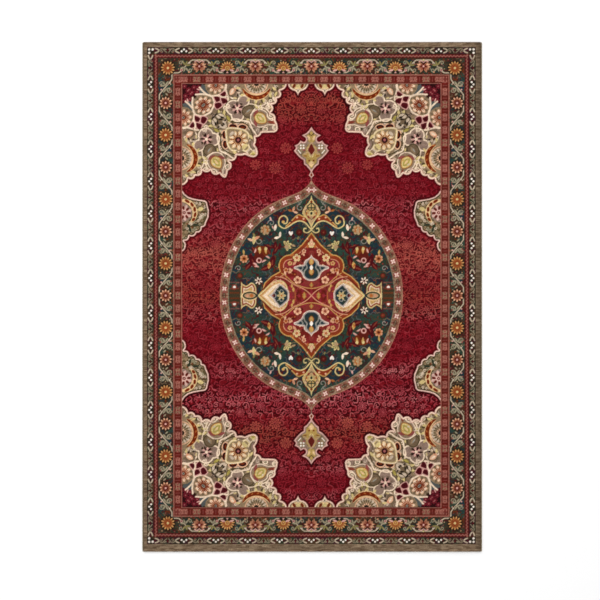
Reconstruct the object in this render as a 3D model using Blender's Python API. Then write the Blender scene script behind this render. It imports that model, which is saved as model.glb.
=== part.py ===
"""Area rug, 2.0 x 3.0 m: a woven ground with a short cut pile that is laid out in five border bands,
a field, corner and side motifs, two pendants and a medallion.

Metres, +Z up. The rug lies flat: its underside is at z = 0 and its centre at x = y = 0. X runs across the
rug, Y along it, and "back" is the +Y end. Each part of the pile is the group of tufts woven in one set of
yarn colours, so it is a slab of its own that stands on the ground weave.
"""
import math

import bmesh
import bpy
from mathutils import Matrix, Vector

# ---------------------------------------------------------------- driving sizes
RUG_WIDTH = 2.000          # over the overcast edges
RUG_LENGTH = 3.000         # over the plain ends
PARTING = 0.0003           # clearance between pieces that lie against each other

COAT_THICKNESS = 0.0008    # latex coat, and the hem tape that lies level with it
GROUND_THICKNESS = 0.0026
PILE_HEIGHT = 0.0075
HEM_WIDTH = 0.030

SERGING_DIAMETER = 0.0080
CORD_DIAMETER = 0.0046
CORD_CLEARANCE = 0.0004    # all round the cord, inside its overcast yarn

# plain band around the design, which sits a little off the centre of the cut rug
PLAIN_LEFT = 0.029
PLAIN_RIGHT = 0.037
PLAIN_BACK = 0.029
PLAIN_FRONT = 0.045

# border bands from the outside in: name, width on the long sides, width on the short ends, colour
BANDS = (
    ("outer_guard", 0.039, 0.041, (0.030, 0.036, 0.032)),
    ("red_stripe", 0.025, 0.024, (0.235, 0.030, 0.032)),
    ("main_border", 0.090, 0.096, (0.032, 0.042, 0.042)),
    ("inner_guard", 0.052, 0.056, (0.235, 0.065, 0.045)),
)

# the motifs are drawn for a field of this size and are stretched with it, as a weaver's cartoon is
DRAWN_FIELD_WIDTH = 1.522
DRAWN_FIELD_LENGTH = 2.492

# medallion, as drawn: two ellipses that are drawn up to a point at both ends, and the size of ring that the
# heart, crowns and flames inside it are drawn for
RING_HALF_WIDTH = 0.540
RING_HALF_LENGTH = 0.600
DRAWN_RING_HALF_WIDTH = 0.540
DRAWN_RING_HALF_LENGTH = 0.600
RING_POINT = 0.080         # how far the point stands beyond the ellipse
INNER_POINT = 0.058        # the same on the ring's inner edge
RING_BAND = 0.053
POINT_SPREAD = 0.045       # how wide the foot of the point is
MEDALLION_STEPS = 96
PENDANT_GAP = 0.042        # from the ring's point to the pendant's tip
TIP_CROWDING = 0.35        # how far the steps are drawn together towards the two points

ARC_TURN = math.radians(21)  # an arc has one segment for each turn of this size

# ---------------------------------------------------------------- outlines, as drawn
# A point is (x, y, bulge). Each outline is walked with its motif on the left. The bulge is the height of the
# arc to the next point over half its chord: above 0 it swells out of the motif, and 0 is a straight run.

# corner motif: x along the short end and y along the long side, both measured from the field's corner
SPANDREL = (
    (0.618, 0.000, 0.33), (0.577, 0.041, 0.70), (0.558, 0.085, 0.60), (0.528, 0.121, 0.50),
    (0.522, 0.170, 0.50), (0.550, 0.212, 0.15), (0.564, 0.256, 0.50), (0.536, 0.286, 0.08),
    (0.468, 0.289, 0.40), (0.432, 0.313, 0.25), (0.428, 0.358, 0.15), (0.446, 0.396, 0.50),
    (0.418, 0.433, 0.12), (0.370, 0.417, 0.20), (0.322, 0.420, 0.55), (0.278, 0.453, 0.65),
    (0.270, 0.511, 0.10), (0.260, 0.548, 0.40), (0.240, 0.550, 0.10), (0.220, 0.528, 0.60),
    (0.168, 0.510, 0.45), (0.120, 0.511, 0.55), (0.078, 0.541, 0.55), (0.037, 0.558, 0.33),
    (0.000, 0.598, 0.00),
)
# side motif: x from the field's long edge inwards, y from the middle of the field
HALF_MEDALLION = (
    (0.000, 0.258, 0.30), (0.022, 0.292, 0.30), (0.012, 0.322, 0.50), (0.043, 0.350, 0.50),
    (0.085, 0.370, 0.50), (0.117, 0.402, 0.45), (0.141, 0.426, 0.25), (0.150, 0.535, 0.35),
    (0.132, 0.561, 0.00), (0.100, 0.566, 0.00), (0.066, 0.572, -0.25), (0.000, 0.622, 0.00),
)
# small motif on the field's short edge: x from the middle of the field, y from the short edge inwards
END_PALMETTE = (
    (0.139, 0.000, 0.35), (0.095, 0.042, -0.15), (0.079, 0.071, -0.15), (0.063, 0.042, 0.35),
    (0.016, 0.000, 0.00),
)
# pendant, right half: x from its axis, y from its tip near the medallion
PENDANT = (
    (0.000, 0.000, -0.10), (0.020, 0.030, -0.15), (0.043, 0.050, 0.00), (0.046, 0.075, 0.12),
    (0.080, 0.102, 0.00), (0.104, 0.131, -0.10), (0.091, 0.146, -0.15), (0.100, 0.163, -0.10),
    (0.079, 0.171, -0.10), (0.064, 0.191, 0.00), (0.046, 0.182, -0.80), (0.042, 0.212, 0.00),
    (0.058, 0.223, -0.10), (0.028, 0.236, -0.10), (0.000, 0.273, 0.00),
)
# heart of the medallion, upper right quarter, from its side point to its end point
HEART = (
    (0.316, 0.000, -0.17), (0.277, 0.075, 0.14), (0.187, 0.143, 0.57), (0.124, 0.243, -0.10),
    (0.000, 0.375, 0.00),
)
# cartouche at the heart's end, right half, from its round foot to its tip
END_CARTOUCHE = (
    (0.000, 0.087, 0.30), (0.048, 0.110, 0.00), (0.060, 0.135, -0.15), (0.103, 0.158, 0.50),
    (0.098, 0.172, 0.10), (0.046, 0.182, 0.00), (0.043, 0.200, 0.15), (0.020, 0.218, -0.20),
    (0.000, 0.242, 0.00),
)
# cartouche at the heart's side, upper half, from its outer tip to its round inner end
SIDE_CARTOUCHE = (
    (0.258, 0.000, -0.25), (0.215, 0.042, -0.20), (0.193, 0.074, 0.15), (0.150, 0.045, 0.35),
    (0.131, 0.000, 0.00),
)
# crown beside the heart, upper half, from its nearly straight outer edge to its foot near the heart
CROWN = (
    (0.417, 0.000, 0.00), (0.414, 0.084, -0.25), (0.384, 0.058, -0.10), (0.358, 0.076, 0.35),
    (0.334, 0.066, 0.20), (0.324, 0.030, 0.00), (0.321, 0.000, 0.00),
)
# flame-shaped palmette beyond the heart's end point, right half
FLAME = (
    (0.000, 0.386, -0.10), (0.008, 0.415, -0.10), (0.036, 0.460, 0.15), (0.054, 0.484, 0.15),
    (0.044, 0.515, 0.15), (0.020, 0.545, -0.15), (0.000, 0.592, 0.00),
)

# ---------------------------------------------------------------- levels and rectangles
GROUND_BOTTOM = COAT_THICKNESS + PARTING
GROUND_TOP = GROUND_BOTTOM + GROUND_THICKNESS
PILE_BOTTOM = GROUND_TOP + PARTING
PILE_TOP = PILE_BOTTOM + PILE_HEIGHT


class Rect:
    """A rectangle on the rug, from its two corners."""

    def __init__(self, left, right, front, back):
        self.left, self.right, self.front, self.back = left, right, front, back

    def inset(self, side, end):
        return Rect(self.left + side, self.right - side, self.front + end, self.back - end)

    def inset_each(self, left, right, front, back):
        return Rect(self.left + left, self.right - right, self.front + front, self.back - back)


RUG = Rect(-RUG_WIDTH / 2, RUG_WIDTH / 2, -RUG_LENGTH / 2, RUG_LENGTH / 2)
WEAVE = RUG.inset(SERGING_DIAMETER + PARTING, 0.0)
DESIGN = RUG.inset_each(PLAIN_LEFT, PLAIN_RIGHT, PLAIN_FRONT, PLAIN_BACK)


def band_edges():
    """The rectangles between the bands, from the design's outer edge to the field."""
    edges = [DESIGN]
    for _, side, end, _ in BANDS:
        edges.append(edges[-1].inset(side, end))
    return edges


EDGES = band_edges()
FIELD = EDGES[-1]
CENTRE = Vector(((FIELD.left + FIELD.right) / 2, (FIELD.front + FIELD.back) / 2))
STRETCH_X = (FIELD.right - FIELD.left) / DRAWN_FIELD_WIDTH
STRETCH_Y = (FIELD.back - FIELD.front) / DRAWN_FIELD_LENGTH


# ---------------------------------------------------------------- outline helpers
def arcs(points):
    """The points joined by their arcs, as a list of (x, y)."""
    path = []
    for (x0, y0, bulge), (x1, y1, _) in zip(points, points[1:]):
        start, end = Vector((x0, y0)), Vector((x1, y1))
        path.append(start)
        if bulge == 0.0:
            continue
        half = (end - start) / 2
        right = Vector((half.y, -half.x))
        turn = 4 * math.atan(bulge)
        centre = start + half - right * ((1 - bulge * bulge) / (2 * bulge))
        segments = math.ceil(abs(turn) / ARC_TURN)
        for step in range(1, segments):
            path.append(centre + Matrix.Rotation(turn * step / segments, 2) @ (start - centre))
    path.append(Vector(points[-1][:2]))
    return path


def drawn(path, flip_x=1, flip_y=1):
    """Places a path that is drawn about the middle of the field."""
    return [Vector((CENTRE.x + p.x * STRETCH_X * flip_x, CENTRE.y + p.y * STRETCH_Y * flip_y)) for p in path]


def from_corner(path):
    """Turns distances from the field's corner into places about its middle, in the upper right quarter."""
    return [Vector((DRAWN_FIELD_WIDTH / 2 - p.x, DRAWN_FIELD_LENGTH / 2 - p.y)) for p in path]


def from_side(path):
    return [Vector((DRAWN_FIELD_WIDTH / 2 - p.x, p.y)) for p in path]


def from_end(path):
    return [Vector((p.x, DRAWN_FIELD_LENGTH / 2 - p.y)) for p in path]


def in_ring(path):
    """Stretches what is drawn inside the medallion with its ring."""
    across = RING_HALF_WIDTH / DRAWN_RING_HALF_WIDTH
    along = RING_HALF_LENGTH / DRAWN_RING_HALF_LENGTH
    return [Vector((p.x * across, p.y * along)) for p in path]


def mirrored_x(path):
    """A right half that runs from the axis up to the axis, closed by its mirror image."""
    return path + [Vector((-p.x, p.y)) for p in path[-2:0:-1]]


def mirrored_y(path):
    return path + [Vector((p.x, -p.y)) for p in path[-2:0:-1]]


def signed_area(loop):
    return sum(a.x * b.y - b.x * a.y for a, b in zip(loop, loop[1:] + loop[:1])) / 2


def drawn_in(loop, distance):
    """The closed loop moved inwards by a distance, and outwards where it is below 0."""
    turn = math.copysign(1.0, signed_area(loop))
    moved = []
    for before, here, after in zip(loop[-1:] + loop[:-1], loop, loop[1:] + loop[:1]):
        first = (here - before).normalized()
        second = (after - here).normalized()
        normal = Vector((-first.y - second.y, first.x + second.x)) * turn
        normal.normalize()
        lean = max(0.35, abs(normal.dot(Vector((-first.y, first.x)))))
        moved.append(here + normal * (distance / lean))
    return moved


# ---------------------------------------------------------------- solids
collection = None


def start_scene():
    global collection
    for item in list(bpy.data.objects):
        bpy.data.objects.remove(item)
    collection = bpy.data.collections.new("area_rug")
    bpy.context.scene.collection.children.link(collection)


def yarn(name, colour, roughness=0.95):
    """A dull material in the yarn's main colour."""
    material = bpy.data.materials.new(name)
    material.use_nodes = True
    shader = material.node_tree.nodes["Principled BSDF"]
    shader.inputs["Base Color"].default_value = (*colour, 1.0)
    shader.inputs["Roughness"].default_value = roughness
    shader.inputs["Metallic"].default_value = 0.0
    material.diffuse_color = (*colour, 1.0)
    return material


def slab(name, rect, bottom, top, material):
    """A flat box over a rectangle."""
    shape = bmesh.new()
    bmesh.ops.create_cube(shape, size=1.0)
    size = Vector((rect.right - rect.left, rect.back - rect.front, top - bottom))
    middle = Vector(((rect.left + rect.right) / 2, (rect.front + rect.back) / 2, (bottom + top) / 2))
    bmesh.ops.scale(shape, vec=size, verts=shape.verts)
    mesh = bpy.data.meshes.new(name)
    shape.to_mesh(mesh)
    shape.free()
    mesh.materials.append(material)
    piece = bpy.data.objects.new(name, mesh)
    piece.location = middle
    collection.objects.link(piece)
    return piece


def flat_outline(name, loops, bottom, top, material):
    """A plate with the first loop as its edge and the others as its holes."""
    curve = bpy.data.curves.new(name, "CURVE")
    curve.dimensions = "2D"
    curve.fill_mode = "BOTH"
    curve.extrude = (top - bottom) / 2
    for loop in loops:
        spline = curve.splines.new("POLY")
        spline.points.add(len(loop) - 1)
        for point, place in zip(spline.points, loop):
            point.co = (place.x, place.y, 0.0, 1.0)
        spline.use_cyclic_u = True
    curve.materials.append(material)
    piece = bpy.data.objects.new(name, curve)
    piece.location.z = (bottom + top) / 2
    collection.objects.link(piece)
    return piece


def pile(name, loops, colour):
    """Pile over an outline, set in from its neighbours by the parting all round."""
    edge = drawn_in(loops[0], PARTING)
    return flat_outline(name, [edge] + loops[1:], PILE_BOTTOM, PILE_TOP, yarn(name + "_yarn", colour))


# ---------------------------------------------------------------- the ground and its edges
def make_ground():
    jute = yarn("ground_yarn", (0.36, 0.27, 0.17))
    latex = yarn("latex", (0.50, 0.46, 0.38), 0.7)
    tape = yarn("hem_tape_cloth", (0.20, 0.16, 0.11))
    slab("ground_weave", WEAVE, GROUND_BOTTOM, GROUND_TOP, jute)
    coat = WEAVE.inset(0.0, HEM_WIDTH + PARTING)
    slab("latex_coat", coat, 0.0, COAT_THICKNESS, latex)
    front = Rect(WEAVE.left, WEAVE.right, WEAVE.front, WEAVE.front + HEM_WIDTH)
    back = Rect(WEAVE.left, WEAVE.right, WEAVE.back - HEM_WIDTH, WEAVE.back)
    slab("hem_tape_front", front, 0.0, COAT_THICKNESS, tape)
    slab("hem_tape_back", back, 0.0, COAT_THICKNESS, tape)


def ring_points(radius, count):
    return [Vector((math.cos(a), math.sin(a))) * radius for a in (math.tau * i / count for i in range(count))]


def make_long_edges():
    """A cord along each long edge, inside a sleeve of overcast yarn."""
    serging = yarn("serging_yarn", (0.22, 0.17, 0.10))
    cotton = yarn("edge_cord_cotton", (0.60, 0.54, 0.44))
    bore = CORD_DIAMETER / 2 + CORD_CLEARANCE
    for side, sign in (("left", -1), ("right", 1)):
        middle = sign * (RUG_WIDTH / 2 - SERGING_DIAMETER / 2)
        loops = [ring_points(SERGING_DIAMETER / 2, 20), ring_points(bore, 16)]
        sleeve = flat_outline("edge_serging_" + side, loops, 0.0, RUG_LENGTH, serging)
        sleeve.rotation_euler = (math.pi / 2, 0.0, 0.0)
        sleeve.location = (middle, 0.0, SERGING_DIAMETER / 2)
        cord = flat_outline("edge_cord_" + side, [ring_points(CORD_DIAMETER / 2, 16)], 0.0, RUG_LENGTH, cotton)
        cord.rotation_euler = (math.pi / 2, 0.0, 0.0)
        cord.location = (middle, 0.0, SERGING_DIAMETER / 2)


# ---------------------------------------------------------------- the border bands
def make_band(name, outer, inner, colour):
    """Four strips: the two ends run across the full width, and the two sides fit between them."""
    material = yarn(name + "_yarn", colour)
    gap = PARTING / 2
    ends = outer.inset(gap, gap)
    strips = {
        "front": Rect(ends.left, ends.right, ends.front, inner.front - gap),
        "back": Rect(ends.left, ends.right, inner.back + gap, ends.back),
        "left": Rect(ends.left, inner.left - gap, inner.front + gap, inner.back - gap),
        "right": Rect(inner.right + gap, ends.right, inner.front + gap, inner.back - gap),
    }
    for side, rect in strips.items():
        slab(name + "_" + side, rect, PILE_BOTTOM, PILE_TOP, material)


def make_bands():
    make_band("plain_band", WEAVE, DESIGN, (0.245, 0.185, 0.130))
    for (name, _, _, colour), outer, inner in zip(BANDS, EDGES, EDGES[1:]):
        make_band(name, outer, inner, colour)


# ---------------------------------------------------------------- medallion and motifs
def ogee(half_width, half_length, point):
    """An ellipse whose two ends are drawn up to a point."""
    loop = []
    for step in range(MEDALLION_STEPS):
        angle = math.tau * step / MEDALLION_STEPS
        angle -= TIP_CROWDING * math.sin(2 * angle)
        x = half_width * math.sin(angle)
        y = half_length * math.cos(angle)
        rise = point * math.exp(-abs(x) / POINT_SPREAD)
        loop.append(Vector((x, y + math.copysign(rise, y))))
    return loop


def quarter_to_loop(path):
    """An upper right quarter that runs from the side point to the end point, mirrored all round."""
    right = [Vector((p.x, -p.y)) for p in path[:0:-1]] + path
    return mirrored_x(right)


RING_OUTER = ogee(RING_HALF_WIDTH, RING_HALF_LENGTH, RING_POINT)
RING_INNER = ogee(RING_HALF_WIDTH - RING_BAND, RING_HALF_LENGTH - RING_BAND, INNER_POINT)
HEART_LOOP = quarter_to_loop(in_ring(arcs(HEART)))
PENDANT_TIP = Vector((0.0, RING_HALF_LENGTH + RING_POINT + PENDANT_GAP))
PENDANT_LOOP = mirrored_x([p + PENDANT_TIP for p in arcs(PENDANT)])
QUARTERS = (("back", "left", -1, 1), ("back", "right", 1, 1), ("front", "left", -1, -1), ("front", "right", 1, -1))
ENDS = (("back", 1), ("front", -1))
SIDES = (("left", -1), ("right", 1))


def field_edge():
    """The field's outline: its rectangle less the motifs that stand on its edges, all round."""
    quarter = from_side(arcs(HALF_MEDALLION))
    quarter += from_corner(arcs(SPANDREL)[::-1])
    quarter += from_end(arcs(END_PALMETTE))
    upper = quarter + [Vector((-p.x, p.y)) for p in quarter[::-1]]
    return upper + [Vector((p.x, -p.y)) for p in upper[::-1]]


def make_field():
    """The field stops one parting short of everything it surrounds."""
    holes = [RING_OUTER]
    for _, sign in ENDS:
        holes.append([Vector((p.x, p.y * sign)) for p in PENDANT_LOOP])
    edge = drawn_in(drawn(field_edge()), PARTING / 2)
    flat_outline("field_pile", [edge] + [drawn(h) for h in holes], PILE_BOTTOM, PILE_TOP,
                 yarn("field_yarn", (0.215, 0.012, 0.020)))


def make_edge_motifs():
    corner = Vector((0.0, 0.0))
    spandrel = from_corner([corner] + arcs(SPANDREL))
    side_motif = from_side(arcs(HALF_MEDALLION))
    end_motif = from_end(arcs(END_PALMETTE))
    for end, side, flip_x, flip_y in QUARTERS:
        name = end + "_" + side
        pile("spandrel_" + name, [drawn(spandrel, flip_x, flip_y)], (0.30, 0.23, 0.14))
        pile("half_medallion_" + name, [drawn(side_motif, flip_x, flip_y)], (0.27, 0.20, 0.12))
        pile("end_palmette_" + name, [drawn(end_motif, flip_x, flip_y)], (0.48, 0.32, 0.10))


def make_pendants():
    for end, sign in ENDS:
        pile("pendant_" + end, [drawn(PENDANT_LOOP, 1, sign)], (0.48, 0.33, 0.12))


def make_medallion():
    heart_holes = []
    ground_holes = [drawn(HEART_LOOP)]
    for end, sign in ENDS:
        cartouche = drawn(mirrored_x(in_ring(arcs(END_CARTOUCHE))), 1, sign)
        flame = drawn(mirrored_x(in_ring(arcs(FLAME))), 1, sign)
        heart_holes.append(cartouche)
        ground_holes.append(flame)
        pile("cartouche_" + end, [cartouche], (0.05, 0.07, 0.08))
        pile("flame_" + end, [flame], (0.55, 0.36, 0.10))
    for side, sign in SIDES:
        cartouche = drawn(mirrored_y(in_ring(arcs(SIDE_CARTOUCHE))), sign, 1)
        crown = drawn(mirrored_y(in_ring(arcs(CROWN))), sign, 1)
        heart_holes.append(cartouche)
        ground_holes.append(crown)
        pile("cartouche_" + side, [cartouche], (0.05, 0.07, 0.08))
        pile("crown_" + side, [crown], (0.55, 0.36, 0.16))
    pile("medallion_ring", [drawn(RING_OUTER), drawn(RING_INNER)], (0.20, 0.11, 0.07))
    pile("medallion_ground", [drawn(RING_INNER)] + ground_holes, (0.015, 0.028, 0.030))
    pile("medallion_heart", [drawn(HEART_LOOP)] + heart_holes, (0.33, 0.04, 0.02))


def main():
    start_scene()
    make_ground()
    make_long_edges()
    make_bands()
    make_field()
    make_edge_motifs()
    make_pendants()
    make_medallion()


main()
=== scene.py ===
# %% [markdown]
# # A medallion area rug
# A machine-woven rug is a flat ground of warp and weft with tufts of dyed yarn standing in it. The weaver
# reads the colour of each tuft from a cartoon, a drawing on squared paper. This lesson works the same way:
# it draws the cartoon with a few drawing tools, then lets a lattice of tufts take its colours, one part of
# the pile at a time, and finishes the edges, the back and the yarn's surface. The frame gives every size
# and place.

# %% Load the frame
import math

import bmesh
import bpy
import numpy as np
from mathutils import Matrix, Vector


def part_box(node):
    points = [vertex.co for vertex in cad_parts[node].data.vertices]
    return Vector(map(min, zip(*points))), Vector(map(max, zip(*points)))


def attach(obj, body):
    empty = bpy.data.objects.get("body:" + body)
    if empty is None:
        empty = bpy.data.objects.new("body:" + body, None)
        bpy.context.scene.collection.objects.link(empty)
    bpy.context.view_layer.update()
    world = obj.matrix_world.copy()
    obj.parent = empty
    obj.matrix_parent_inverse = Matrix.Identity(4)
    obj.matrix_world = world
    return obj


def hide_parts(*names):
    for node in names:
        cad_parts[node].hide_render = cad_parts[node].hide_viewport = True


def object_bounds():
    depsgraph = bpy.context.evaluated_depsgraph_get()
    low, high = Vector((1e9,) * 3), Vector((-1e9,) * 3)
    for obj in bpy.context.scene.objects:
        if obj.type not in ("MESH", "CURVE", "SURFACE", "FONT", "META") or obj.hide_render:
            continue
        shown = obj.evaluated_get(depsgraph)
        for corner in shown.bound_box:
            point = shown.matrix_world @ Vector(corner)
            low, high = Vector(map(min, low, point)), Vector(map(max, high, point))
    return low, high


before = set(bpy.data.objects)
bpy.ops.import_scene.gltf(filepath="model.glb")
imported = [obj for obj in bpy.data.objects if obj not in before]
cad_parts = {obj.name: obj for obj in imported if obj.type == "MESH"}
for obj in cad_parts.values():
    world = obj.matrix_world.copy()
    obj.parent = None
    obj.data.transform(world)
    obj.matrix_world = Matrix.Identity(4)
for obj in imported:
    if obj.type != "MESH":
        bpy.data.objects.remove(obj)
cad_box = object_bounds()
print("rug:", [round(high - low, 4) for low, high in zip(*cad_box)], "m, nodes:", len(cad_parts))

# %% [markdown]
# ## Where things are
# All the drawing is done in millimetres, measured from the middle of the field, because a weaver's cartoon is
# centred on its medallion and not on the cut edges of the rug. The four quarters of the design mirror each
# other, so only the quarter towards +X and +Y is ever drawn.

# %% The design's centre and its bands, from the frame
MM = 0.001


def centre_and_half(node):
    """The middle of a node's box and its half sizes along X and Y, in metres."""
    low, high = (np.array(corner[:2]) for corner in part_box(node))
    return (low + high) / 2, (high - low) / 2


DESIGN_CENTRE, FIELD_HALF = centre_and_half("field_pile")
FIELD_X, FIELD_Y = FIELD_HALF / MM
BANDS = ("inner_guard", "main_border", "red_stripe", "outer_guard")
BAND_X = [FIELD_X] + [(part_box(band + "_right")[1][0] - DESIGN_CENTRE[0]) / MM for band in BANDS]
BAND_Y = [FIELD_Y] + [(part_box(band + "_back")[1][1] - DESIGN_CENTRE[1]) / MM for band in BANDS]
PILE_BOTTOM, PILE_TOP = (corner[2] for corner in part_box("field_pile"))
print("field half:", round(FIELD_X), round(FIELD_Y), "mm; band edges:", np.round(BAND_X), np.round(BAND_Y))

# %% [markdown]
# ## The camera
# The rug is seen from straight above through a long lens, which keeps its edges almost parallel. The lens is
# fixed first, and the distance follows from the width of floor that the picture takes in.

# %% Camera straight above the rug
VIEW_WIDTH = 3.532
CAMERA_SPOT = (-0.0715, -0.0185)
LENS = 135.0
camera_data = bpy.data.cameras.new("camera")
camera_data.lens = LENS
camera = bpy.data.objects.new("camera", camera_data)
height = VIEW_WIDTH * LENS / camera_data.sensor_width + PILE_TOP
camera.location = (*CAMERA_SPOT, height)
camera_data.clip_end = 100.0
bpy.context.scene.collection.objects.link(camera)
bpy.context.scene.camera = camera
print("camera height:", round(height, 2), "m")

# %% [markdown]
# ## Colours
# Dyed yarn is known by its colour card. Each colour here is written as the sRGB value of the finished pile,
# and one function turns it into the linear light values that a shader works with.

# %% Colour card
CARD = {
    "taupe": "#7b6651", "taupe_light": "#978269", "taupe_dark": "#5a4634",
    "night": "#241c14", "green_black": "#2c3224", "navy": "#1f3037", "bottle": "#2b4236", "plum": "#3a1a22",
    "ivory": "#e9cfb8", "bone": "#c4ae97", "sage": "#978c72", "pewter": "#8c8478", "white": "#f2e4d6",
    "rose": "#a4605c", "dusk_rose": "#86443f", "brick": "#7a3527", "oxblood": "#571a12", "maroon": "#4a0e14",
    "crimson": "#6a0812", "crimson_dark": "#52030a", "crimson_light": "#861f2a", "ember": "#8d3a2c",
    "salmon": "#c98d6c", "peach": "#dcab88", "pink": "#cf9c90", "gold": "#bf9655", "straw": "#cdb67c",
    "rust": "#8c3d1c", "copper": "#a9602f", "umber": "#6a2a10", "khaki": "#8c7458", "khaki_dark": "#6b5742",
    "cream": "#e9ceb2", "mauve": "#8a7163", "slate": "#2b3536", "steel": "#8f8a80", "brown": "#4a3422",
    "moss": "#85794a", "tan": "#a98a66",
    "crimson_mid": "#72101a", "pewter_dark": "#4f5250", "ring_brown": "#7d553f", "heart_red": "#6a1a14",
    "cartouche_edge": "#a89890", "inner_red": "#60241c", "guard_pink": "#9c6254", "guard_tan": "#8b6b53",
    "border_dark": "#33271c", "border_brown": "#4c2a1c", "border_salmon": "#a66d52", "border_gold": "#9b6537",
    "stripe_red": "#4e1a16", "stripe_pink": "#8f554b", "guard_dark": "#2a241a",
    "crimson_black": "#4a0209", "crimson_pale": "#94323a", "field_flower": "#9c3e38", "wine_black": "#2c0a0c",
    "olive_dark": "#453a22", "rust_dark": "#6e2408", "gold_green": "#a3924a", "rust_warm": "#83341a",
    "bead_pink": "#eccabb", "border_tip": "#c8965e", "block_red": "#7e4038", "corner_leaf": "#641822",
    "guard_leaf": "#bba890", "guard_vine": "#8b7d66", "heart_crimson": "#8a2630", "heart_ground": "#7e302a",
    "rim_pink": "#cfa698", "rim_pale": "#e4c2b2", "flame_tan": "#c6a56c", "clay": "#a24e40",
    "drab": "#695638", "old_gold": "#a98a4c", "ring_line": "#847a64", "ring_rim": "#a8745e",
    "petal_dark": "#5c1c14", "straw_peach": "#d8b484",
}


def srgb(hex_colour):
    """The three sRGB values, 0 to 1, of a hex colour."""
    return np.array([int(hex_colour[i:i + 2], 16) / 255 for i in (1, 3, 5)])


def to_linear(values):
    """sRGB values turned to linear light."""
    values = np.asarray(values, dtype=float)
    return np.where(values <= 0.04045, values / 12.92, ((values + 0.055) / 1.055) ** 2.4)


DYES = {name: srgb(value) for name, value in CARD.items()}
print(len(DYES), "dyes")

# %% [markdown]
# ## The squared paper
# The cartoon is an array of colours, with two squares to each 3 mm knot. Every drawing tool works out how
# much of a shape covers each square, inside a small window, and lays the dye on in that share. A stencil
# keeps a tool inside the part of the design that is being drawn.

# %% The cartoon, its stencil and its windows
KNOT = 3.0
SQUARE = KNOT / 2
weave_low, weave_high = np.array(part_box("ground_weave"))[:, :2]
far_edge = np.maximum(weave_high - DESIGN_CENTRE, DESIGN_CENTRE - weave_low) / MM
COLUMNS, ROWS = (int(math.ceil(v / SQUARE)) + 2 for v in far_edge)
cartoon = np.zeros((ROWS, COLUMNS, 3))
stencil = np.ones((ROWS, COLUMNS))
WHOLE = (slice(0, ROWS), slice(0, COLUMNS))
square_x = (np.arange(COLUMNS) + 0.5) * SQUARE
square_y = (np.arange(ROWS) + 0.5) * SQUARE
print("cartoon:", COLUMNS, "x", ROWS, "squares")


def window(points, margin):
    """The rows and columns that a shape can touch, and the places of their squares."""
    low = np.floor((points.min(axis=0) - margin) / SQUARE).astype(int)
    high = np.ceil((points.max(axis=0) + margin) / SQUARE).astype(int)
    cols = slice(max(low[0], 0), max(min(high[0], COLUMNS), 0))
    rows = slice(max(low[1], 0), max(min(high[1], ROWS), 0))
    return rows, cols, square_x[cols][None, :], square_y[rows][:, None]


def lay(rows, cols, cover, dye):
    """Lays a dye over the window, as far as the cover and the stencil let it."""
    share = (cover * stencil[rows, cols])[..., None]
    cartoon[rows, cols] += (DYES[dye] - cartoon[rows, cols]) * share


# %% [markdown]
# ## Drawing tools
# A filled shape is a closed path, and a drawn line is an open or closed one with a width. Everything else
# is made of these two: discs, petals, leaves and curls. A motif is described once in its own small space
# and is then placed by one or more frames, such as a turn and a shift, or the mirror of a corner about its
# diagonal.

# %% Placing frames
def at(x=0.0, y=0.0, turn=0.0, size=1.0, flip=1.0):
    """A frame that sizes a motif, mirrors it, turns it by an angle in degrees and shifts it."""
    angle = math.radians(turn)
    spin = np.array([[math.cos(angle), math.sin(angle)], [-math.sin(angle), math.cos(angle)]]) * size
    return lambda points: (points * (flip, 1.0)) @ spin + (x, y)


def corner(points):
    """Counts a motif's places from the corner of the field."""
    return np.array([FIELD_X, FIELD_Y]) - points


def corner_turned(points):
    """The same, mirrored about the corner's diagonal."""
    return np.array([FIELD_X, FIELD_Y]) - points[:, ::-1]


def side(points):
    """Counts a motif's places inwards from the long side of the field."""
    return points * (-1.0, 1.0) + (FIELD_X, 0.0)


def end(points):
    """Counts a motif's places inwards from the short side of the field."""
    return points * (1.0, -1.0) + (0.0, FIELD_Y)


frames = [at()]


def use(*chosen):
    """Everything drawn from here on is placed by each of these frames."""
    frames[:] = chosen


# %% Filled shapes and lines
def crossings(path, rows, cols):
    """Even-odd cover of a closed path, counted from the places where it crosses each row."""
    marks = np.zeros((rows.stop - rows.start, cols.stop - cols.start + 1))
    for (x0, y0), (x1, y1) in zip(path, np.roll(path, -1, axis=0)):
        if y0 == y1:
            continue
        low, high = sorted((y0, y1))
        first = max(int(math.ceil(low / SQUARE - 0.5)), rows.start)
        last = min(int(math.ceil(high / SQUARE - 0.5)), rows.stop)
        if last <= first:
            continue
        line_rows = np.arange(first, last)
        x = x0 + ((line_rows + 0.5) * SQUARE - y0) * (x1 - x0) / (y1 - y0)
        places = np.clip(np.ceil(x / SQUARE - 0.5).astype(int) - cols.start, 0, marks.shape[1] - 1)
        marks[line_rows - rows.start, places] += 1
    return np.cumsum(marks, axis=1)[:, :-1] % 2


def fill(points, dye):
    """A closed shape in one dye."""
    for place in frames:
        path = place(np.asarray(points, dtype=float))
        rows, cols, _, _ = window(path, SQUARE)
        if rows.stop > rows.start and cols.stop > cols.start:
            lay(rows, cols, crossings(path, rows, cols), dye)


def shared(near, whole):
    """The part of one slice that lies in another, counted from where the other starts."""
    return slice(max(near.start, whole.start) - whole.start, min(near.stop, whole.stop) - whole.start)


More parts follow.
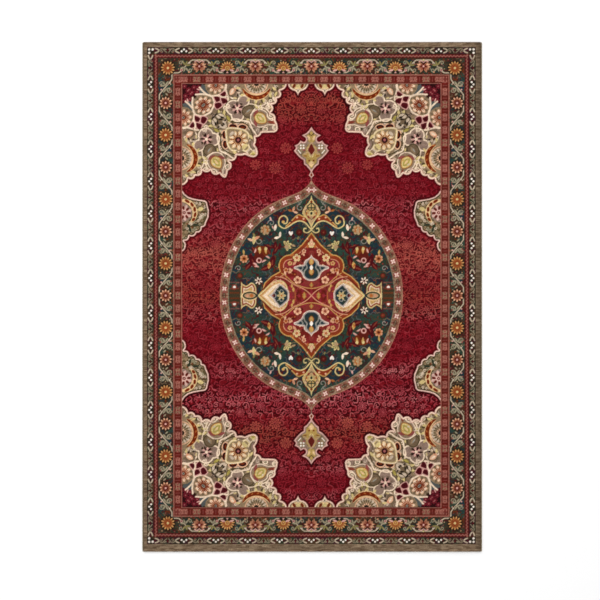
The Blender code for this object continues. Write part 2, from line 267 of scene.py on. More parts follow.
def along(path, width, rows, cols, across, up):
    """How far a line of that width covers each square of a window."""
    cover = np.zeros((rows.stop - rows.start, cols.stop - cols.start))
    reach = width / 2 + SQUARE
    for start, stop in zip(path[:-1], path[1:]):
        near_rows, near_cols, _, _ = window(np.array([start, stop]), reach)
        sub_rows, sub_cols = shared(near_rows, rows), shared(near_cols, cols)
        if sub_rows.stop <= sub_rows.start or sub_cols.stop <= sub_cols.start:
            continue
        run = stop - start
        x = across[:, sub_cols] - start[0]
        y = up[sub_rows] - start[1]
        share = np.clip((x * run[0] + y * run[1]) / max(run @ run, 1e-9), 0.0, 1.0)
        gap = np.hypot(x - share * run[0], y - share * run[1])
        part = np.clip((width / 2 - gap) / SQUARE + 0.5, 0.0, 1.0)
        np.maximum(cover[sub_rows, sub_cols], part, out=cover[sub_rows, sub_cols])
    return cover


def line(points, width, dye, closed=False):
    """A line of even width."""
    points = np.asarray(points, dtype=float)
    if closed:
        points = np.vstack([points, points[:1]])
    for place in frames:
        path = place(points)
        rows, cols, across, up = window(path, width)
        if rows.stop > rows.start and cols.stop > cols.start:
            lay(rows, cols, along(path, width, rows, cols, across, up), dye)


def smooth(points, closed=False, steps=5):
    """A curve through all the points."""
    points = np.asarray(points, dtype=float)
    if closed:
        padded = np.vstack([points[-1:], points, points[:2]])
    else:
        padded = np.vstack([points[:1] * 2 - points[1:2], points, points[-1:] * 2 - points[-2:-1]])
    curve = []
    for a, b, c, d in zip(padded, padded[1:], padded[2:], padded[3:]):
        for t in np.arange(steps) / steps:
            curve.append(0.5 * (2 * b + (c - a) * t + (2 * a - 5 * b + 4 * c - d) * t * t
                                + (3 * b - a - 3 * c + d) * t ** 3))
    if not closed:
        curve.append(points[-1])
    return np.array(curve)


# %% Discs, petals, leaves and curls
def oval(x, y, long, wide=None, turn=0.0, count=16):
    """The outline of an ellipse, from its half length and half width."""
    wide = long if wide is None else wide
    angles = np.arange(count) * math.tau / count
    return at(x, y, turn)(np.column_stack([long * np.cos(angles), wide * np.sin(angles)]))


def disc(x, y, long, dye, wide=None, turn=0.0):
    """A filled circle or oval."""
    fill(oval(x, y, long, wide, turn), dye)


def around(x, y, reach, turn):
    """The point at a distance from a centre, in the direction of an angle in degrees."""
    return x + reach * math.cos(math.radians(turn)), y + reach * math.sin(math.radians(turn))


def petals(x, y, count, near, far, wide, dye, start=90.0, sweep=360.0):
    """Petals that stand around a centre, from one radius to another."""
    gap = sweep / count if sweep == 360.0 else sweep / max(count - 1, 1)
    for step in range(count):
        turn = start + step * gap
        fill(oval(*around(x, y, (near + far) / 2, turn), (far - near) / 2, wide / 2, turn, 10), dye)


def leaf(x, y, long, wide, turn, dye, bend=0.0):
    """A pointed leaf from its stalk at (x, y); bend moves its middle to one side."""
    steps = np.linspace(0.0, 1.0, 7)
    swell = np.sin(steps * math.pi) ** 0.8 * wide / 2
    spine = np.sin(steps * math.pi) * bend
    upper = np.column_stack([steps * long, spine + swell])
    lower = np.column_stack([steps * long, spine - swell])[::-1]
    fill(at(x, y, turn)(np.vstack([upper, lower[1:-1]])), dye)


def curl(x, y, radius, turns, start, width, dye, hand=1.0):
    """A line that winds in on itself, from its outer end."""
    steps = np.linspace(0.0, 1.0, max(int(12 * turns), 6))
    reach = radius * (1.0 - 0.75 * steps)
    angles = np.radians(start) + hand * steps * turns * math.tau
    line(np.column_stack([x + reach * np.cos(angles), y + reach * np.sin(angles)]), width, dye)


def strokes(half, width, dye, leans):
    """Straight strokes through the middle of the frame, one for each angle."""
    for lean in leans:
        line(at(turn=lean)(np.array([(-half, 0.0), (half, 0.0)])), width, dye)


def tapered_arc(x, y, reach, thick, angles, dye):
    """An arc around a centre, as thick to each side as the list says; the angles are in degrees."""
    spokes = np.column_stack([np.cos(np.radians(angles)), np.sin(np.radians(angles))])
    outer = spokes * (reach + thick)[:, None]
    inner = spokes * (reach - thick)[:, None]
    fill(np.vstack([outer, inner[::-1]]) + (x, y), dye)


print("drawing tools ready")

# %% [markdown]
# ## Stencils from the frame
# The frame's solids are the parts of the pile, so their top faces give the stencils. An edge that only one
# top triangle uses lies on the outline, and those edges are chained into loops.

# %% Outlines and stencils
def outlines(node):
    """The loops around a node's top face, in millimetres from the design's centre."""
    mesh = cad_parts[node].data
    spots = np.array([v.co[:] for v in mesh.vertices])
    top = spots[:, 2].max() - 1e-5
    keys = [tuple(np.round((spot[:2] - DESIGN_CENTRE) / MM, 3)) for spot in spots]
    after = {}
    used = {}
    for polygon in mesh.polygons:
        corners = list(polygon.vertices)
        if polygon.normal.z < 0.9 or min(spots[corners, 2]) < top:
            continue
        names = [keys[i] for i in corners]
        for pair in zip(names, names[1:] + names[:1]):
            used[pair] = True
    for a, b in used:
        if (b, a) not in used:
            after[a] = b
    loops = []
    while after:
        first, here = after.popitem()
        loop = [first]
        while here != first:
            loop.append(here)
            here = after.pop(here)
        loops.append(np.array(loop))
    return loops


OUTLINES = {node: outlines(node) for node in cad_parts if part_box(node)[1][2] > PILE_TOP - 1e-4}


def cut_stencil(*nodes):
    """Drawing stays on these parts of the pile, and on all of it when none is named."""
    stencil[:] = 1.0
    if nodes:
        stencil[:] = 0.0
    for node in nodes:
        cover = sum(crossings(loop, *WHOLE) for loop in OUTLINES[node]) % 2
        np.maximum(stencil, cover, out=stencil)


def cut_frame(level):
    """A stencil of one border band: 0 is the inner guard, and 4 the plain band."""
    inside = (square_x[None, :] < BAND_X[level]) & (square_y[:, None] < BAND_Y[level])
    outside = np.ones_like(inside)
    if level + 1 < len(BAND_X):
        outside = (square_x[None, :] < BAND_X[level + 1]) & (square_y[:, None] < BAND_Y[level + 1])
    stencil[:] = outside & ~inside


print(len(OUTLINES), "parts of the pile")

# %% [markdown]
# ## Uneven dye
# Hanks of yarn never take a dye quite evenly. A soft cloud of values, made by stretching a few seeded
# random numbers over the whole drawing, mixes a second and third dye into a ground colour.

# %% Clouds of colour
def cloud(rows, columns, cell, seed):
    """Smooth values from 0 to 1 that change over about one cell, counted in squares."""
    draw = np.random.default_rng(seed)
    tall, wide = int(rows / cell[1]) + 3, int(columns / cell[0]) + 3
    coarse = draw.random((tall, wide))
    y = np.linspace(0, tall - 1.001, rows)
    x = np.linspace(0, wide - 1.001, columns)
    iy, ix = y.astype(int), x.astype(int)
    fy, fx = (y - iy)[:, None], (x - ix)[None, :]
    fy, fx = fy * fy * (3 - 2 * fy), fx * fx * (3 - 2 * fx)
    upper = coarse[iy][:, ix] * (1 - fx) + coarse[iy][:, ix + 1] * fx
    lower = coarse[iy + 1][:, ix] * (1 - fx) + coarse[iy + 1][:, ix + 1] * fx
    return upper * (1 - fy) + lower * fy


def ground(dye, others=(), cell=(30.0, 30.0), seed=1):
    """Fills the stencil with a dye, and clouds the others over it."""
    lay(*WHOLE, np.ones((ROWS, COLUMNS)), dye)
    for step, other in enumerate(others):
        veil = cloud(ROWS, COLUMNS, (cell[0] / SQUARE, cell[1] / SQUARE), seed + step)
        lay(*WHOLE, np.clip((veil - 0.52) * 4.0, 0.0, 0.9), other)


print("clouds ready")

# %% [markdown]
# ## Motifs that come back
# Flowers, buds and outlined shapes appear all over the rug, so they are described once.

# %% Rosettes, edged shapes and nested outlines
def rosette(x, y, radius, outer, inner, eye, count=12, start=90.0):
    """Two rows of petals around an eye."""
    wide = 1.35 * math.pi * radius / count
    petals(x, y, count, 0.42 * radius, radius, wide, outer, start)
    petals(x, y, count, 0.25 * radius, 0.68 * radius, 0.6 * wide, inner, start + 180.0 / count)
    disc(x, y, 0.27 * radius, eye)


def edged(points, dye, rim, width):
    """A closed shape with a line along its edge."""
    fill(points, dye)
    line(points, width, rim, closed=True)


def free_edge(node):
    """The part of a node's outline that doesn't run along the border of the field."""
    loop = max(OUTLINES[node], key=len)
    free = (np.abs(loop[:, 0]) < FIELD_X - 1.0) & (np.abs(loop[:, 1]) < FIELD_Y - 1.0)
    if free.all():
        return loop, True
    start = next(i for i in range(len(loop)) if free[i] and not free[i - 1])
    order = np.roll(np.arange(len(loop)), -start)
    kept = [i for i in order if free[i]]
    first, last = order[-1], order[len(kept)]
    return loop[[first] + kept + [last]], False


def nest(node, *bands):
    """Lines inside a node's edge: each band is how deep it reaches and its dye, deepest first."""
    use(at())
    path, closed = free_edge(node)
    for depth, dye in bands:
        line(path, 2 * depth, dye, closed=closed)


print("motifs ready")

# %% [markdown]
# ## The field
# The field is crimson on crimson: curled stems and small flowers in a darker and a lighter red, set close
# enough that no plain ground shows between them. Seeded random numbers place and turn them, and a few
# larger flowers are given one by one, the clearest of them beside the pendants.

# %% Crimson field
def scatter(width, length, step, seed):
    """Staggered places over an area, each moved a little."""
    draw = np.random.default_rng(seed)
    for row in range(int(length / step) + 1):
        for column in range(int(width / step) + 1):
            x = (column + 0.5 * (row % 2)) * step + draw.uniform(-0.2, 0.2) * step
            yield x, row * step + draw.uniform(-0.2, 0.2) * step, draw


cut_stencil("field_pile")
use(at())
ground("crimson", ("crimson_dark", "crimson_mid"), (14.0, 8.0), seed=11)
for x, y, draw in scatter(FIELD_X, FIELD_Y, 34.0, 21):
    turn = draw.uniform(0, 360)
    hand = draw.choice((-1.0, 1.0))
    reach = draw.uniform(13.0, 21.0)
    light = draw.choice(("crimson_light", "crimson_light", "crimson_pale"))
    if draw.random() < 0.22:
        disc(x, y, reach, "crimson_black")
        petals(x, y, 6, 5.0, reach, 8.0, light, turn)
        disc(x, y, 4.0, light)
    elif draw.random() < 0.6:
        curl(x + 4, y + 4, reach + 1.0, 1.2, turn, 9.0, "crimson_black", hand)
        curl(x, y, reach, 1.2, turn, 6.0, light, hand)
    else:
        sway = at(x, y, turn)(smooth([(-26, -6), (-12, 10), (4, 2), (16, -10), (28, 4)]))
        line(sway + (3.0, -5.0), 9, "crimson_black")
        line(sway, 6, light)
    leaf(x + 14, y + 8, 24.0, 11.0, turn + 60, "crimson_black")
    leaf(x - 12, y + 16, 18.0, 7.0, turn + 200, light)
CLEAR_RADIUS = 33
FIELD_FLOWERS = ((215, 752, 38), (150, 868, 36), (330, 770, 34), (60, 1096, 33), (168, 1040, 30),
                 (300, 650, 30), (110, 700, 24), (420, 690, 30), (560, 300, 32), (640, 170, 30),
                 (600, 50, 30), (520, 560, 32), (90, 960, 24), (480, 480, 26), (690, 250, 24))
for x, y, radius in FIELD_FLOWERS:
    light = "field_flower" if radius > CLEAR_RADIUS else "crimson_light"
    petals(x, y, 9, 7.0, radius + 6, 0.5 * radius, "crimson_black", 90 + x)
    petals(x, y, 9, 7.0, radius, 0.38 * radius, light, 90 + x)
    petals(x, y, 9, 10.0, 0.7 * radius, 0.12 * radius, "crimson_black", 90 + x)
HALO = 22.0
for node in ("pendant_back", "half_medallion_back_right", "end_palmette_back_right", "spandrel_back_right"):
    line(free_edge(node)[0], HALO, "crimson_black")
line([(0, 650), (0, 700)], 6, "mauve")
fill([(0, 692), (15, 708), (0, 736), (-15, 708)], "rim_pink")
fill([(0, 700), (8, 709), (0, 722), (-8, 709)], "umber")
print("field drawn")

# %% [markdown]
# ## Corner pieces
# Each corner piece mirrors itself about its diagonal. Distances are counted from the corner of the field,
# and the frames corner and corner_turned draw a motif on both sides of the diagonal at once.

# %% Corner piece: ground, compartments and corner
cut_stencil("spandrel_back_right")
BOTH = (corner, corner_turned)
use(corner)
ground("khaki", ("mauve", "khaki_dark", "khaki_dark"), (30.0, 30.0), seed=31)
use(*BOTH)
for x, y, draw in scatter(560, 560, 42.0, 33):
    if y < x:
        dye = draw.choice(("straw", "bone", "khaki_dark", "mauve", "khaki_dark"))
        leaf(x, y, 28.0, 13.0, draw.uniform(0, 360), "olive_dark")
        leaf(x + 2, y, 24.0, 10.0, draw.uniform(0, 360), dye)
        curl(x + 18, y + 16, 12.0, 1.0, draw.uniform(0, 360), 5, draw.choice(("bone", "mauve", "cream")))
use(corner)
fill([(0, 0), (128, 0), (104, 50), (50, 104), (0, 128)], "wine_black")
use(*BOTH)
fill([(118, 0), (150, 20), (160, 50), (158, 78), (104, 62), (94, 48)], "pewter_dark")
for x, y, turn in ((50, 58, 45), (70, 20, 10), (14, 14, 45), (98, 20, 80), (88, 46, 20), (34, 40, 60)):
    for lean in (0.0, 60.0, 120.0):
        leaf(*at(x, y)(at(turn=turn + lean)(np.array([[-19.0, 0.0]])))[0], 38.0, 15.0, turn + lean,
             "corner_leaf")
    disc(x, y, 4.0, "rose")
leaf(28, 84, 26.0, 9.0, 70, "pink")
CORNER_ROUNDS = ((198.0, 8.0, 63.0, 95.0), (128.0, 122.0, 58.0, 45.0))
for x, y, radius, start in CORNER_ROUNDS:
    disc(x, y, radius, "khaki")
    petals(x, y, 9, 40.0, 0.93 * radius, 12.0, "khaki_dark", start + 20)
    disc(x, y, 37.0, "rust_dark")
    petals(x, y, 9, 12.0, 50.0, 20.0, "peach", start)
    petals(x, y, 9, 24.0, 46.0, 9.0, "cream", start)
    petals(x, y, 9, 12.0, 36.0, 5.0, "brick", start)
    petals(x, y, 9, 14.0, 38.0, 5.0, "umber", start + 20)
    disc(x, y, 15.0, "umber")
    disc(x, y, 8.0, "pewter")
    disc(x, y, 3.5, "night")
line(smooth([(258, 0), (250, 36), (226, 60), (186, 72), (150, 64), (120, 40), (103, 20)]), 10, "cream")
line(smooth([(80, 62), (120, 60), (165, 68), (186, 92), (188, 124), (172, 156), (163, 170)]), 10, "cream")
print("corner rounds drawn")

# %% Corner piece: leaf fans, mauve flower and teardrop
WINE_LEAVES = (((186, 72), (214, 72), (230, 92), (204, 110), (190, 92)),
               ((222, 62), (248, 42), (262, 50), (252, 80), (228, 76)),
               ((226, 82), (252, 82), (276, 104), (240, 120), (230, 102)),
               ((194, 112), (226, 108), (236, 130), (206, 150), (190, 132)))
for shape in WINE_LEAVES:
    edged(smooth(shape, closed=True, steps=3), "maroon", "pink", 6)
    leaf(*np.mean(shape, axis=0), 12.0, 6.0, 40, "wine_black")
line(smooth([(183, 70), (215, 68), (240, 78), (268, 74), (272, 98), (284, 112)]), 9, "cream")
line(smooth([(262, 8), (258, 34), (266, 58), (284, 76), (304, 90)]), 8, "cream")
LOBES = ((362, 100, 27), (303, 140, 38), (326, 184, 31), (336, 134, 32))
for grow, dye in ((14, "olive_dark"), (10, "cream"), (1, "mauve")):
    for x, y, radius in LOBES:
        disc(x, y, radius + grow, dye)
petals(325, 144, 7, 14.0, 44.0, 9.0, "khaki_dark", 10)
petals(325, 144, 5, 6.0, 32.0, 13.0, "pink", 15)
petals(325, 144, 5, 8.0, 36.0, 10.0, "wine_black", 50)
disc(325, 144, 9.0, "cream")
for x, y in ((346, 118), (306, 130), (316, 168)):
    disc(x, y, 7.0, "night", 5.0)
pear = [(354, 160), (372, 134), (404, 128), (424, 150), (426, 178), (398, 196), (368, 190)]
edged(smooth(pear, closed=True), "khaki_dark", "olive_dark", 6)
leaf(370, 178, 52.0, 20.0, 325, "khaki")
leaf(376, 168, 34.0, 8.0, 325, "steel")
tear = smooth([(412, 190), (428, 166), (462, 158), (492, 174), (506, 208), (536, 230), (500, 234),
               (462, 246), (430, 236), (412, 214)], closed=True)
line(tear, 21, "cream", closed=True)
line(tear, 10, "mauve", closed=True)
fill(tear, "khaki")
leaf(500, 222, 64.0, 18.0, 8, "brick")
leaf(420, 196, 52.0, 22.0, 300, "dusk_rose")
leaf(424, 210, 46.0, 18.0, 70, "dusk_rose")
bud = smooth([(429, 193), (448, 171), (475, 176), (491, 200), (493, 224), (470, 231), (441, 224)],
             closed=True)
line(bud, 10, "umber", closed=True)
edged(bud, "straw", "gold", 5)
leaf(437, 182, 62.0, 34.0, 40, "gold_green")
leaf(446, 190, 38.0, 13.0, 40, "straw_peach")
disc(474, 190, 8.0, "bone", 5.0, 70)
disc(450, 220, 8.0, "gold", 5.0, 20)
line(smooth([(404, 182), (430, 146), (470, 138), (506, 158), (520, 196), (552, 222)]), 7, "cream")
for x, y, radius, start, hand in ((524, 184, 24, 200, -1), (492, 268, 21, 30, 1), (546, 254, 16, 90, 1)):
    disc(x, y, radius - 2, "khaki_dark")
    curl(x, y, radius, 1.4, start, 7, "cream", hand)
    disc(x, y, 6.0, "sage")
leaf(538, 222, 26.0, 8.0, 40, "salmon")
print("teardrop drawn")

# %% Corner piece: diagonal palmette
use(corner)
palmette = smooth([(262, 266), (300, 260), (364, 272), (392, 302), (380, 342), (395, 374), (374, 395),
                   (342, 380), (302, 392), (272, 364), (260, 300)], closed=True)
use(*BOTH)
for x, y in ((300, 250), (356, 254)):
    disc(x, y, 30.0, "peach", 22.0, 4.0)
    disc(x, y, 23.0, "wine_black", 14.0, 4.0)
    disc(x, y + 2, 14.0, "umber", 6.0, 4.0)
use(corner)
edged(palmette, "khaki", "straw", 12)
line(palmette * 1.02 - (6.5, 6.5), 5, "cream", closed=True)
disc(334, 334, 58.0, "khaki")
petals(330, 330, 9, 14.0, 60.0, 25.0, "straw_peach", 5)
petals(330, 330, 9, 26.0, 54.0, 9.0, "cream", 5)
petals(330, 330, 9, 16.0, 50.0, 6.0, "rust_dark", 25)
petals(330, 330, 9, 12.0, 34.0, 5.0, "umber", 5)
disc(330, 330, 18.0, "wine_black")
disc(330, 330, 8.0, "rose")
disc(292, 292, 22.0, "khaki", 14.0, 135)
disc(292, 292, 16.0, "bone", 9.0, 135)
disc(368, 368, 20.0, "straw", 12.0, 135)
disc(412, 412, 36.0, "bone", 30.0, 45)
disc(416, 416, 25.0, "straw", 21.0, 45)
disc(420, 420, 14.0, "gold_green", 12.0, 45)
disc(400, 400, 24.0, "khaki", 8.0, 135)
use(*BOTH)
line(smooth([(283, 212), (318, 206), (355, 216), (390, 222), (404, 246), (416, 270), (432, 292), (444, 318),
             (440, 346), (448, 372), (444, 396)]), 9, "cream")
line(smooth([(398, 330), (412, 352), (404, 380), (420, 392)]), 7, "cream")
line(smooth([(296, 232), (330, 226), (372, 234), (396, 258), (414, 296), (418, 322)]), 6, "olive_dark")
leaf(408, 322, 70.0, 32.0, 82, "khaki_dark")
leaf(410, 330, 54.0, 16.0, 82, "mauve")
leaf(392, 296, 40.0, 16.0, 50, "straw")
print("palmette drawn")

# %% Corner piece: crescents, light leaves and edge
HALF_FLOWER = (437.0, -8.0)
CRESCENT_ANGLES = np.linspace(24.0, 156.0, 19)


def crescent(reach, width, dye):
    """An arc around the corner piece's half flower, thinning towards both ends."""
    thick = width / 2 * np.sin(np.linspace(0.1, math.pi - 0.1, 19)) ** 0.6
    tapered_arc(*HALF_FLOWER, reach, thick, CRESCENT_ANGLES, dye)


disc(*HALF_FLOWER, 100.0, "khaki")
for turn in range(15, 180, 24):
    leaf(*around(*HALF_FLOWER, 98, turn), 30.0, 15.0, turn + 30, "straw")
petals(437, -4, 9, 40.0, 62.0, 16.0, "bone", 0, 180)
petals(437, -4, 9, 34.0, 52.0, 6.0, "olive_dark", 10, 160)
petals(437, -4, 7, 12.0, 34.0, 14.0, "khaki_dark", 0, 180)
petals(437, -4, 7, 14.0, 30.0, 8.0, "peach", 0, 180)
disc(437, -2, 15.0, "night")
crescent(87.0, 37.0, "straw_peach")
crescent(88.0, 24.0, "rust_dark")
for turn in (42, 62, 84, 106, 128, 146):
    disc(*around(*HALF_FLOWER, 90, turn), 8.0, "copper", 4.0, turn + 120)
line([around(*HALF_FLOWER, 67, turn) for turn in range(6, 176, 8)], 6, "peach")
for x, y, turn in ((560, 44, 120), (548, 66, 90), (578, 26, 60), (588, 8, 30)):
    leaf(x, y, 36.0, 20.0, turn, "olive_dark")
    leaf(x, y, 34.0, 15.0, turn, "straw")
for x, y, turn, dye in ((425, 112, 60, "straw"), (462, 112, 90, "gold_green"), (500, 102, 70, "cream"),
                        (530, 70, 60, "cream"), (212, 150, 70, "straw"), (236, 178, 40, "bone"),
                        (172, 222, 60, "straw"), (250, 150, 100, "straw"), (262, 184, 60, "gold_green"),
                        (236, 214, 50, "bone"), (210, 176, 20, "bone"), (180, 196, 50, "bone")):
    leaf(x - 2, y - 2, 46.0, 23.0, turn, "olive_dark")
    leaf(x, y, 42.0, 17.0, turn, dye)
for x, y, turn in ((190, 192, 310), (222, 192, 20), (206, 214, 80)):
    leaf(x, y, 26.0, 11.0, turn, "night")
disc(292, 48, 24.0, "khaki_dark", 30.0, 20)
leaf(282, 66, 52.0, 30.0, 300, "peach")
leaf(286, 58, 36.0, 12.0, 300, "cream")
leaf(300, 22, 34.0, 15.0, 40, "salmon")
for x, y, turn in ((330, 30, 30), (262, 206, 130), (244, 236, 45), (336, 58, 80)):
    leaf(x, y, 28.0, 13.0, turn, "bone")
    disc(x - 8, y + 8, 8.0, "night", 5.0, turn)
for x, y in ((272, 130), (254, 140), (566, 92), (546, 116), (504, 134), (462, 136), (586, 60)):
    curl(x, y, 14.0, 1.2, 40, 6, "cream")
line(smooth([(388, 116), (420, 120), (446, 130), (476, 124), (498, 114), (524, 118)]), 6, "cream")
nest("spandrel_back_right", (12, "rose"), (10, "cream"), (3.0, "pink"))
print("corner piece drawn")

# %% [markdown]
# ## Half medallions, end palmettes and pendants
# These stand on the crimson field, each in a pale outline: half flowers on the long sides, small palmettes
# in the middle of the short sides, and a lantern shape above and below the medallion.

# %% Half medallions and end palmettes
cut_stencil("half_medallion_back_right")
use(side)
ground("drab", ("khaki", "olive_dark", "olive_dark"), (16.0, 16.0), seed=41)
for x, y, draw in scatter(170, 700, 21.0, 43):
    curl(x, y, 10.0, 0.9, draw.uniform(0, 360), 6, draw.choice(("bone", "sage", "khaki", "khaki")))
    disc(x + 10, y + 6, 4.5, draw.choice(("olive_dark", "umber", "night")))
for x, y, draw in scatter(170, 700, 46.0, 44):
    leaf(x, y, 30.0, 14.0, draw.uniform(0, 360), draw.choice(("olive_dark", "green_black", "bone")))
SIDE_FLOWER = (2.0, 486.0)


def side_arc(width, dye):
    """An arc around the half flower on the edge of the field, thinning towards both ends."""
    thick = width / 2 * np.cos(np.radians(np.linspace(-80.0, 80.0, 17))) ** 0.5
    tapered_arc(*SIDE_FLOWER, 74.0, thick, np.linspace(-46.0, 96.0, 17), dye)


disc(0, 490, 60.0, "mauve")
side_arc(38.0, "olive_dark")
side_arc(32.0, "straw_peach")
for turn, long in ((-30, 13), (-8, 15), (17, 15), (42, 15), (68, 17)):
    disc(*around(*SIDE_FLOWER, 75, turn), long, "rust_dark", 8.0, turn + 80)
petals(12, 488, 7, 6.0, 48.0, 21.0, "rim_pink", 20)
petals(12, 488, 7, 16.0, 40.0, 15.0, "petal_dark", 46)
disc(12, 488, 9.0, "petal_dark")
disc(12, 488, 4.0, "pink")
leaf(88, 504, 42.0, 24.0, 15, "straw")
leaf(96, 470, 34.0, 16.0, 330, "sage")
leaf(100, 446, 30.0, 18.0, 60, "bone")
leaf(60, 420, 44.0, 14.0, 350, "green_black")
nest("half_medallion_back_right", (14, "olive_dark"), (8.5, "rim_pale"), (3, "pink"))

cut_stencil("end_palmette_back_right")
use(end)
ground("khaki", ("mauve", "khaki_dark"), (18.0, 18.0), seed=45)
disc(78, 6, 40.0, "straw_peach", 26.0)
disc(78, 6, 22.0, "tan", 16.0)
leaf(78, 72, 46.0, 26.0, 270, "bone")
leaf(78, 66, 34.0, 10.0, 270, "khaki_dark")
for x in (54, 102):
    disc(x, 12, 14.0, "umber", 8.0, 60)
    leaf(x, 34, 20.0, 10.0, 90, "cream")
disc(78, 14, 12.0, "straw")
disc(78, 50, 6.0, "slate")
nest("end_palmette_back_right", (9, "cream"), (3, "pink"))
print("half medallions and end palmettes drawn")

# %% Pendants
cut_stencil("pendant_back")
use(at())
ground("khaki", ("mauve", "khaki_dark", "mauve"), (16.0, 16.0), seed=51)
BOTH_SIDES = (at(), at(flip=-1.0))
use(*BOTH_SIDES)
fill(smooth([(0, 752), (14, 768), (30, 784), (32, 808), (50, 820), (52, 834), (34, 848), (26, 874),
             (8, 896), (0, 900)], closed=True), "old_gold")
fill(smooth([(0, 758), (10, 766), (16, 778), (8, 788), (0, 790)], closed=True), "straw_peach")
leaf(22, 846, 34.0, 13.0, 330, "tan")
leaf(34, 856, 18.0, 10.0, 10, "dusk_rose")
leaf(12, 836, 26.0, 9.0, 250, "straw")
disc(13, 795, 5.0, "umber")
disc(36, 822, 12.0, "umber", 3.0, 10)
fill(smooth([(0, 904), (18, 908), (28, 928), (34, 950), (24, 968), (0, 976)], closed=True), "old_gold")
leaf(8, 912, 34.0, 16.0, 66, "straw_peach")
leaf(6, 948, 26.0, 9.0, 40, "olive_dark")
line(smooth([(0, 942), (12, 950), (26, 966)]), 4, "brown")
line(smooth([(30, 890), (36, 908), (28, 920)]), 5, "khaki_dark")
fill(smooth([(0, 903), (14, 884), (27, 856), (14, 834), (0, 822)], closed=True), "tan")
fill(smooth([(0, 890), (9, 880), (19, 857), (9, 840), (0, 832)], closed=True), "petal_dark")
for x, y in ((46, 868), (62, 868), (46, 884), (62, 884)):
    disc(x, y, 5.5, "white")
line([(78, 856), (62, 838)], 5, "white")
line(smooth([(70, 896), (80, 886), (78, 872)]), 4, "bone")
nest("pendant_back", (12, "mauve"), (7.5, "rim_pink"), (3, "pink"))
print("pendant drawn")

# %% [markdown]
# ## The medallion
# The medallion is built outwards in: a ring set with beads, a dark ground full of scrolls and flowers, and
# a red heart with four cartouches. The beads step along the ring's middle line at an even spacing.

# %% Ring and its beads
cut_stencil("medallion_ring")
ground("ring_brown", ("dusk_rose", "taupe_light", "ring_brown"), (9.0, 9.0), seed=61)


def reach_at(loop, angles):
    """How far a loop lies from the centre in each direction."""
    bearings = np.arctan2(loop[:, 1], loop[:, 0])
    order = np.argsort(bearings)
    return np.interp(angles, bearings[order], np.hypot(*loop.T)[order], period=math.tau)


ring_loops = sorted(OUTLINES["medallion_ring"], key=lambda loop: np.ptp(loop[:, 0]))
quarter = np.linspace(math.pi / 2, 0.0, 241)
ring_inner, ring_outer = (reach_at(loop, quarter) for loop in (ring_loops[0], ring_loops[-1]))
middle = (ring_inner + ring_outer) / 2
ring_line = np.column_stack([middle * np.cos(quarter), middle * np.sin(quarter)])
along_ring = np.concatenate([[0.0], np.cumsum(np.hypot(*np.diff(ring_line, axis=0).T))])
BEAD_COUNT = 11
FIRST_BEAD = 25.0
BEAD_GAP = (along_ring[-1] - FIRST_BEAD) / (BEAD_COUNT - 0.5)


def on_ring(distance):
    """The point that far along the ring's middle line, and the line's direction there, in degrees."""
    here = [np.interp(distance, along_ring, ring_line[:, axis]) for axis in (0, 1)]
    ahead = [np.interp(distance + 2.0, along_ring, ring_line[:, axis]) for axis in (0, 1)]
    behind = [np.interp(distance - 2.0, along_ring, ring_line[:, axis]) for axis in (0, 1)]
    return here, math.degrees(math.atan2(ahead[1] - behind[1], ahead[0] - behind[0]))


for step in range(2 * BEAD_COUNT):
    (x, y), turn = on_ring(FIRST_BEAD + step * BEAD_GAP / 2)
    use(at(x, y, turn))
    if step % 2 == 0:
        disc(0, 0, 17.0, "dusk_rose")
        strokes(11.0, 9, "bead_pink", (45.0, 135.0))
        disc(0, 0, 3.0, "brick")
    else:
        disc(0, 0, 16.0, "brown", 13.0)
        for rise in (-7.0, 0.0, 7.0):
            line([(-11, rise), (11, rise)], 3.5, "dusk_rose" if rise else "ring_line")
        line([(0, -12), (0, 12)], 4, "brown")
use(at())
line(ring_loops[0], 8, "ring_line", closed=True)
line(ring_loops[-1], 9, "ring_rim", closed=True)
print("beads in a quarter of the ring:", BEAD_COUNT, "on", round(along_ring[-1]), "mm")

# %% Dark ground of the medallion: scrolls
cut_stencil("medallion_ground")
ground("navy", ("plum", "green_black", "bottle"), (70.0, 70.0), seed=71)
for x, y, draw in scatter(500, 600, 34.0, 73):
    turn = draw.uniform(0, 360)
    dye = draw.choice(("brown", "plum", "maroon", "umber", "bottle", "pewter_dark", "khaki_dark"))
    line(at(x, y, turn)(smooth([(-20, -5), (-6, 6), (8, -4), (22, 5)])), 5, dye)
    disc(x + 14, y - 12, draw.uniform(4, 7), draw.choice(("maroon", "plum", "brown", "bottle", "brick")))
HORN_TOP = smooth([(24, 458), (50, 466), (76, 476), (100, 458), (126, 430), (150, 408)])
HORN_LOW = smooth([(0, 388), (14, 404), (38, 430), (72, 440), (104, 428), (132, 408), (161, 396),
                   (191, 417), (186, 457), (161, 470), (141, 452), (146, 427), (161, 424)])
fill(np.vstack([HORN_TOP, HORN_LOW[27:9:-1]]), "rust_warm")
line(HORN_LOW, 8, "straw")
line(HORN_TOP, 7, "gold")
line(smooth([(2, 384), (24, 370), (44, 378), (42, 396), (30, 394)]), 7, "straw")
disc(166, 434, 9.0, "gold")
for x, y in ((46, 452), (84, 460), (16, 444)):
    disc(x, y, 6.0, "peach")
for x, y, radius, start, hand in ((236, 426, 22, 0, 1), (306, 322, 26, 90, -1), (361, 192, 26, 180, 1),
                                  (66, 517, 22, 90, -1), (430, 160, 18, 0, 1), (70, 552, 14, 60, 1)):
    curl(x, y, radius, 1.0, start, 5, "pewter", hand)
print("scrolls drawn")

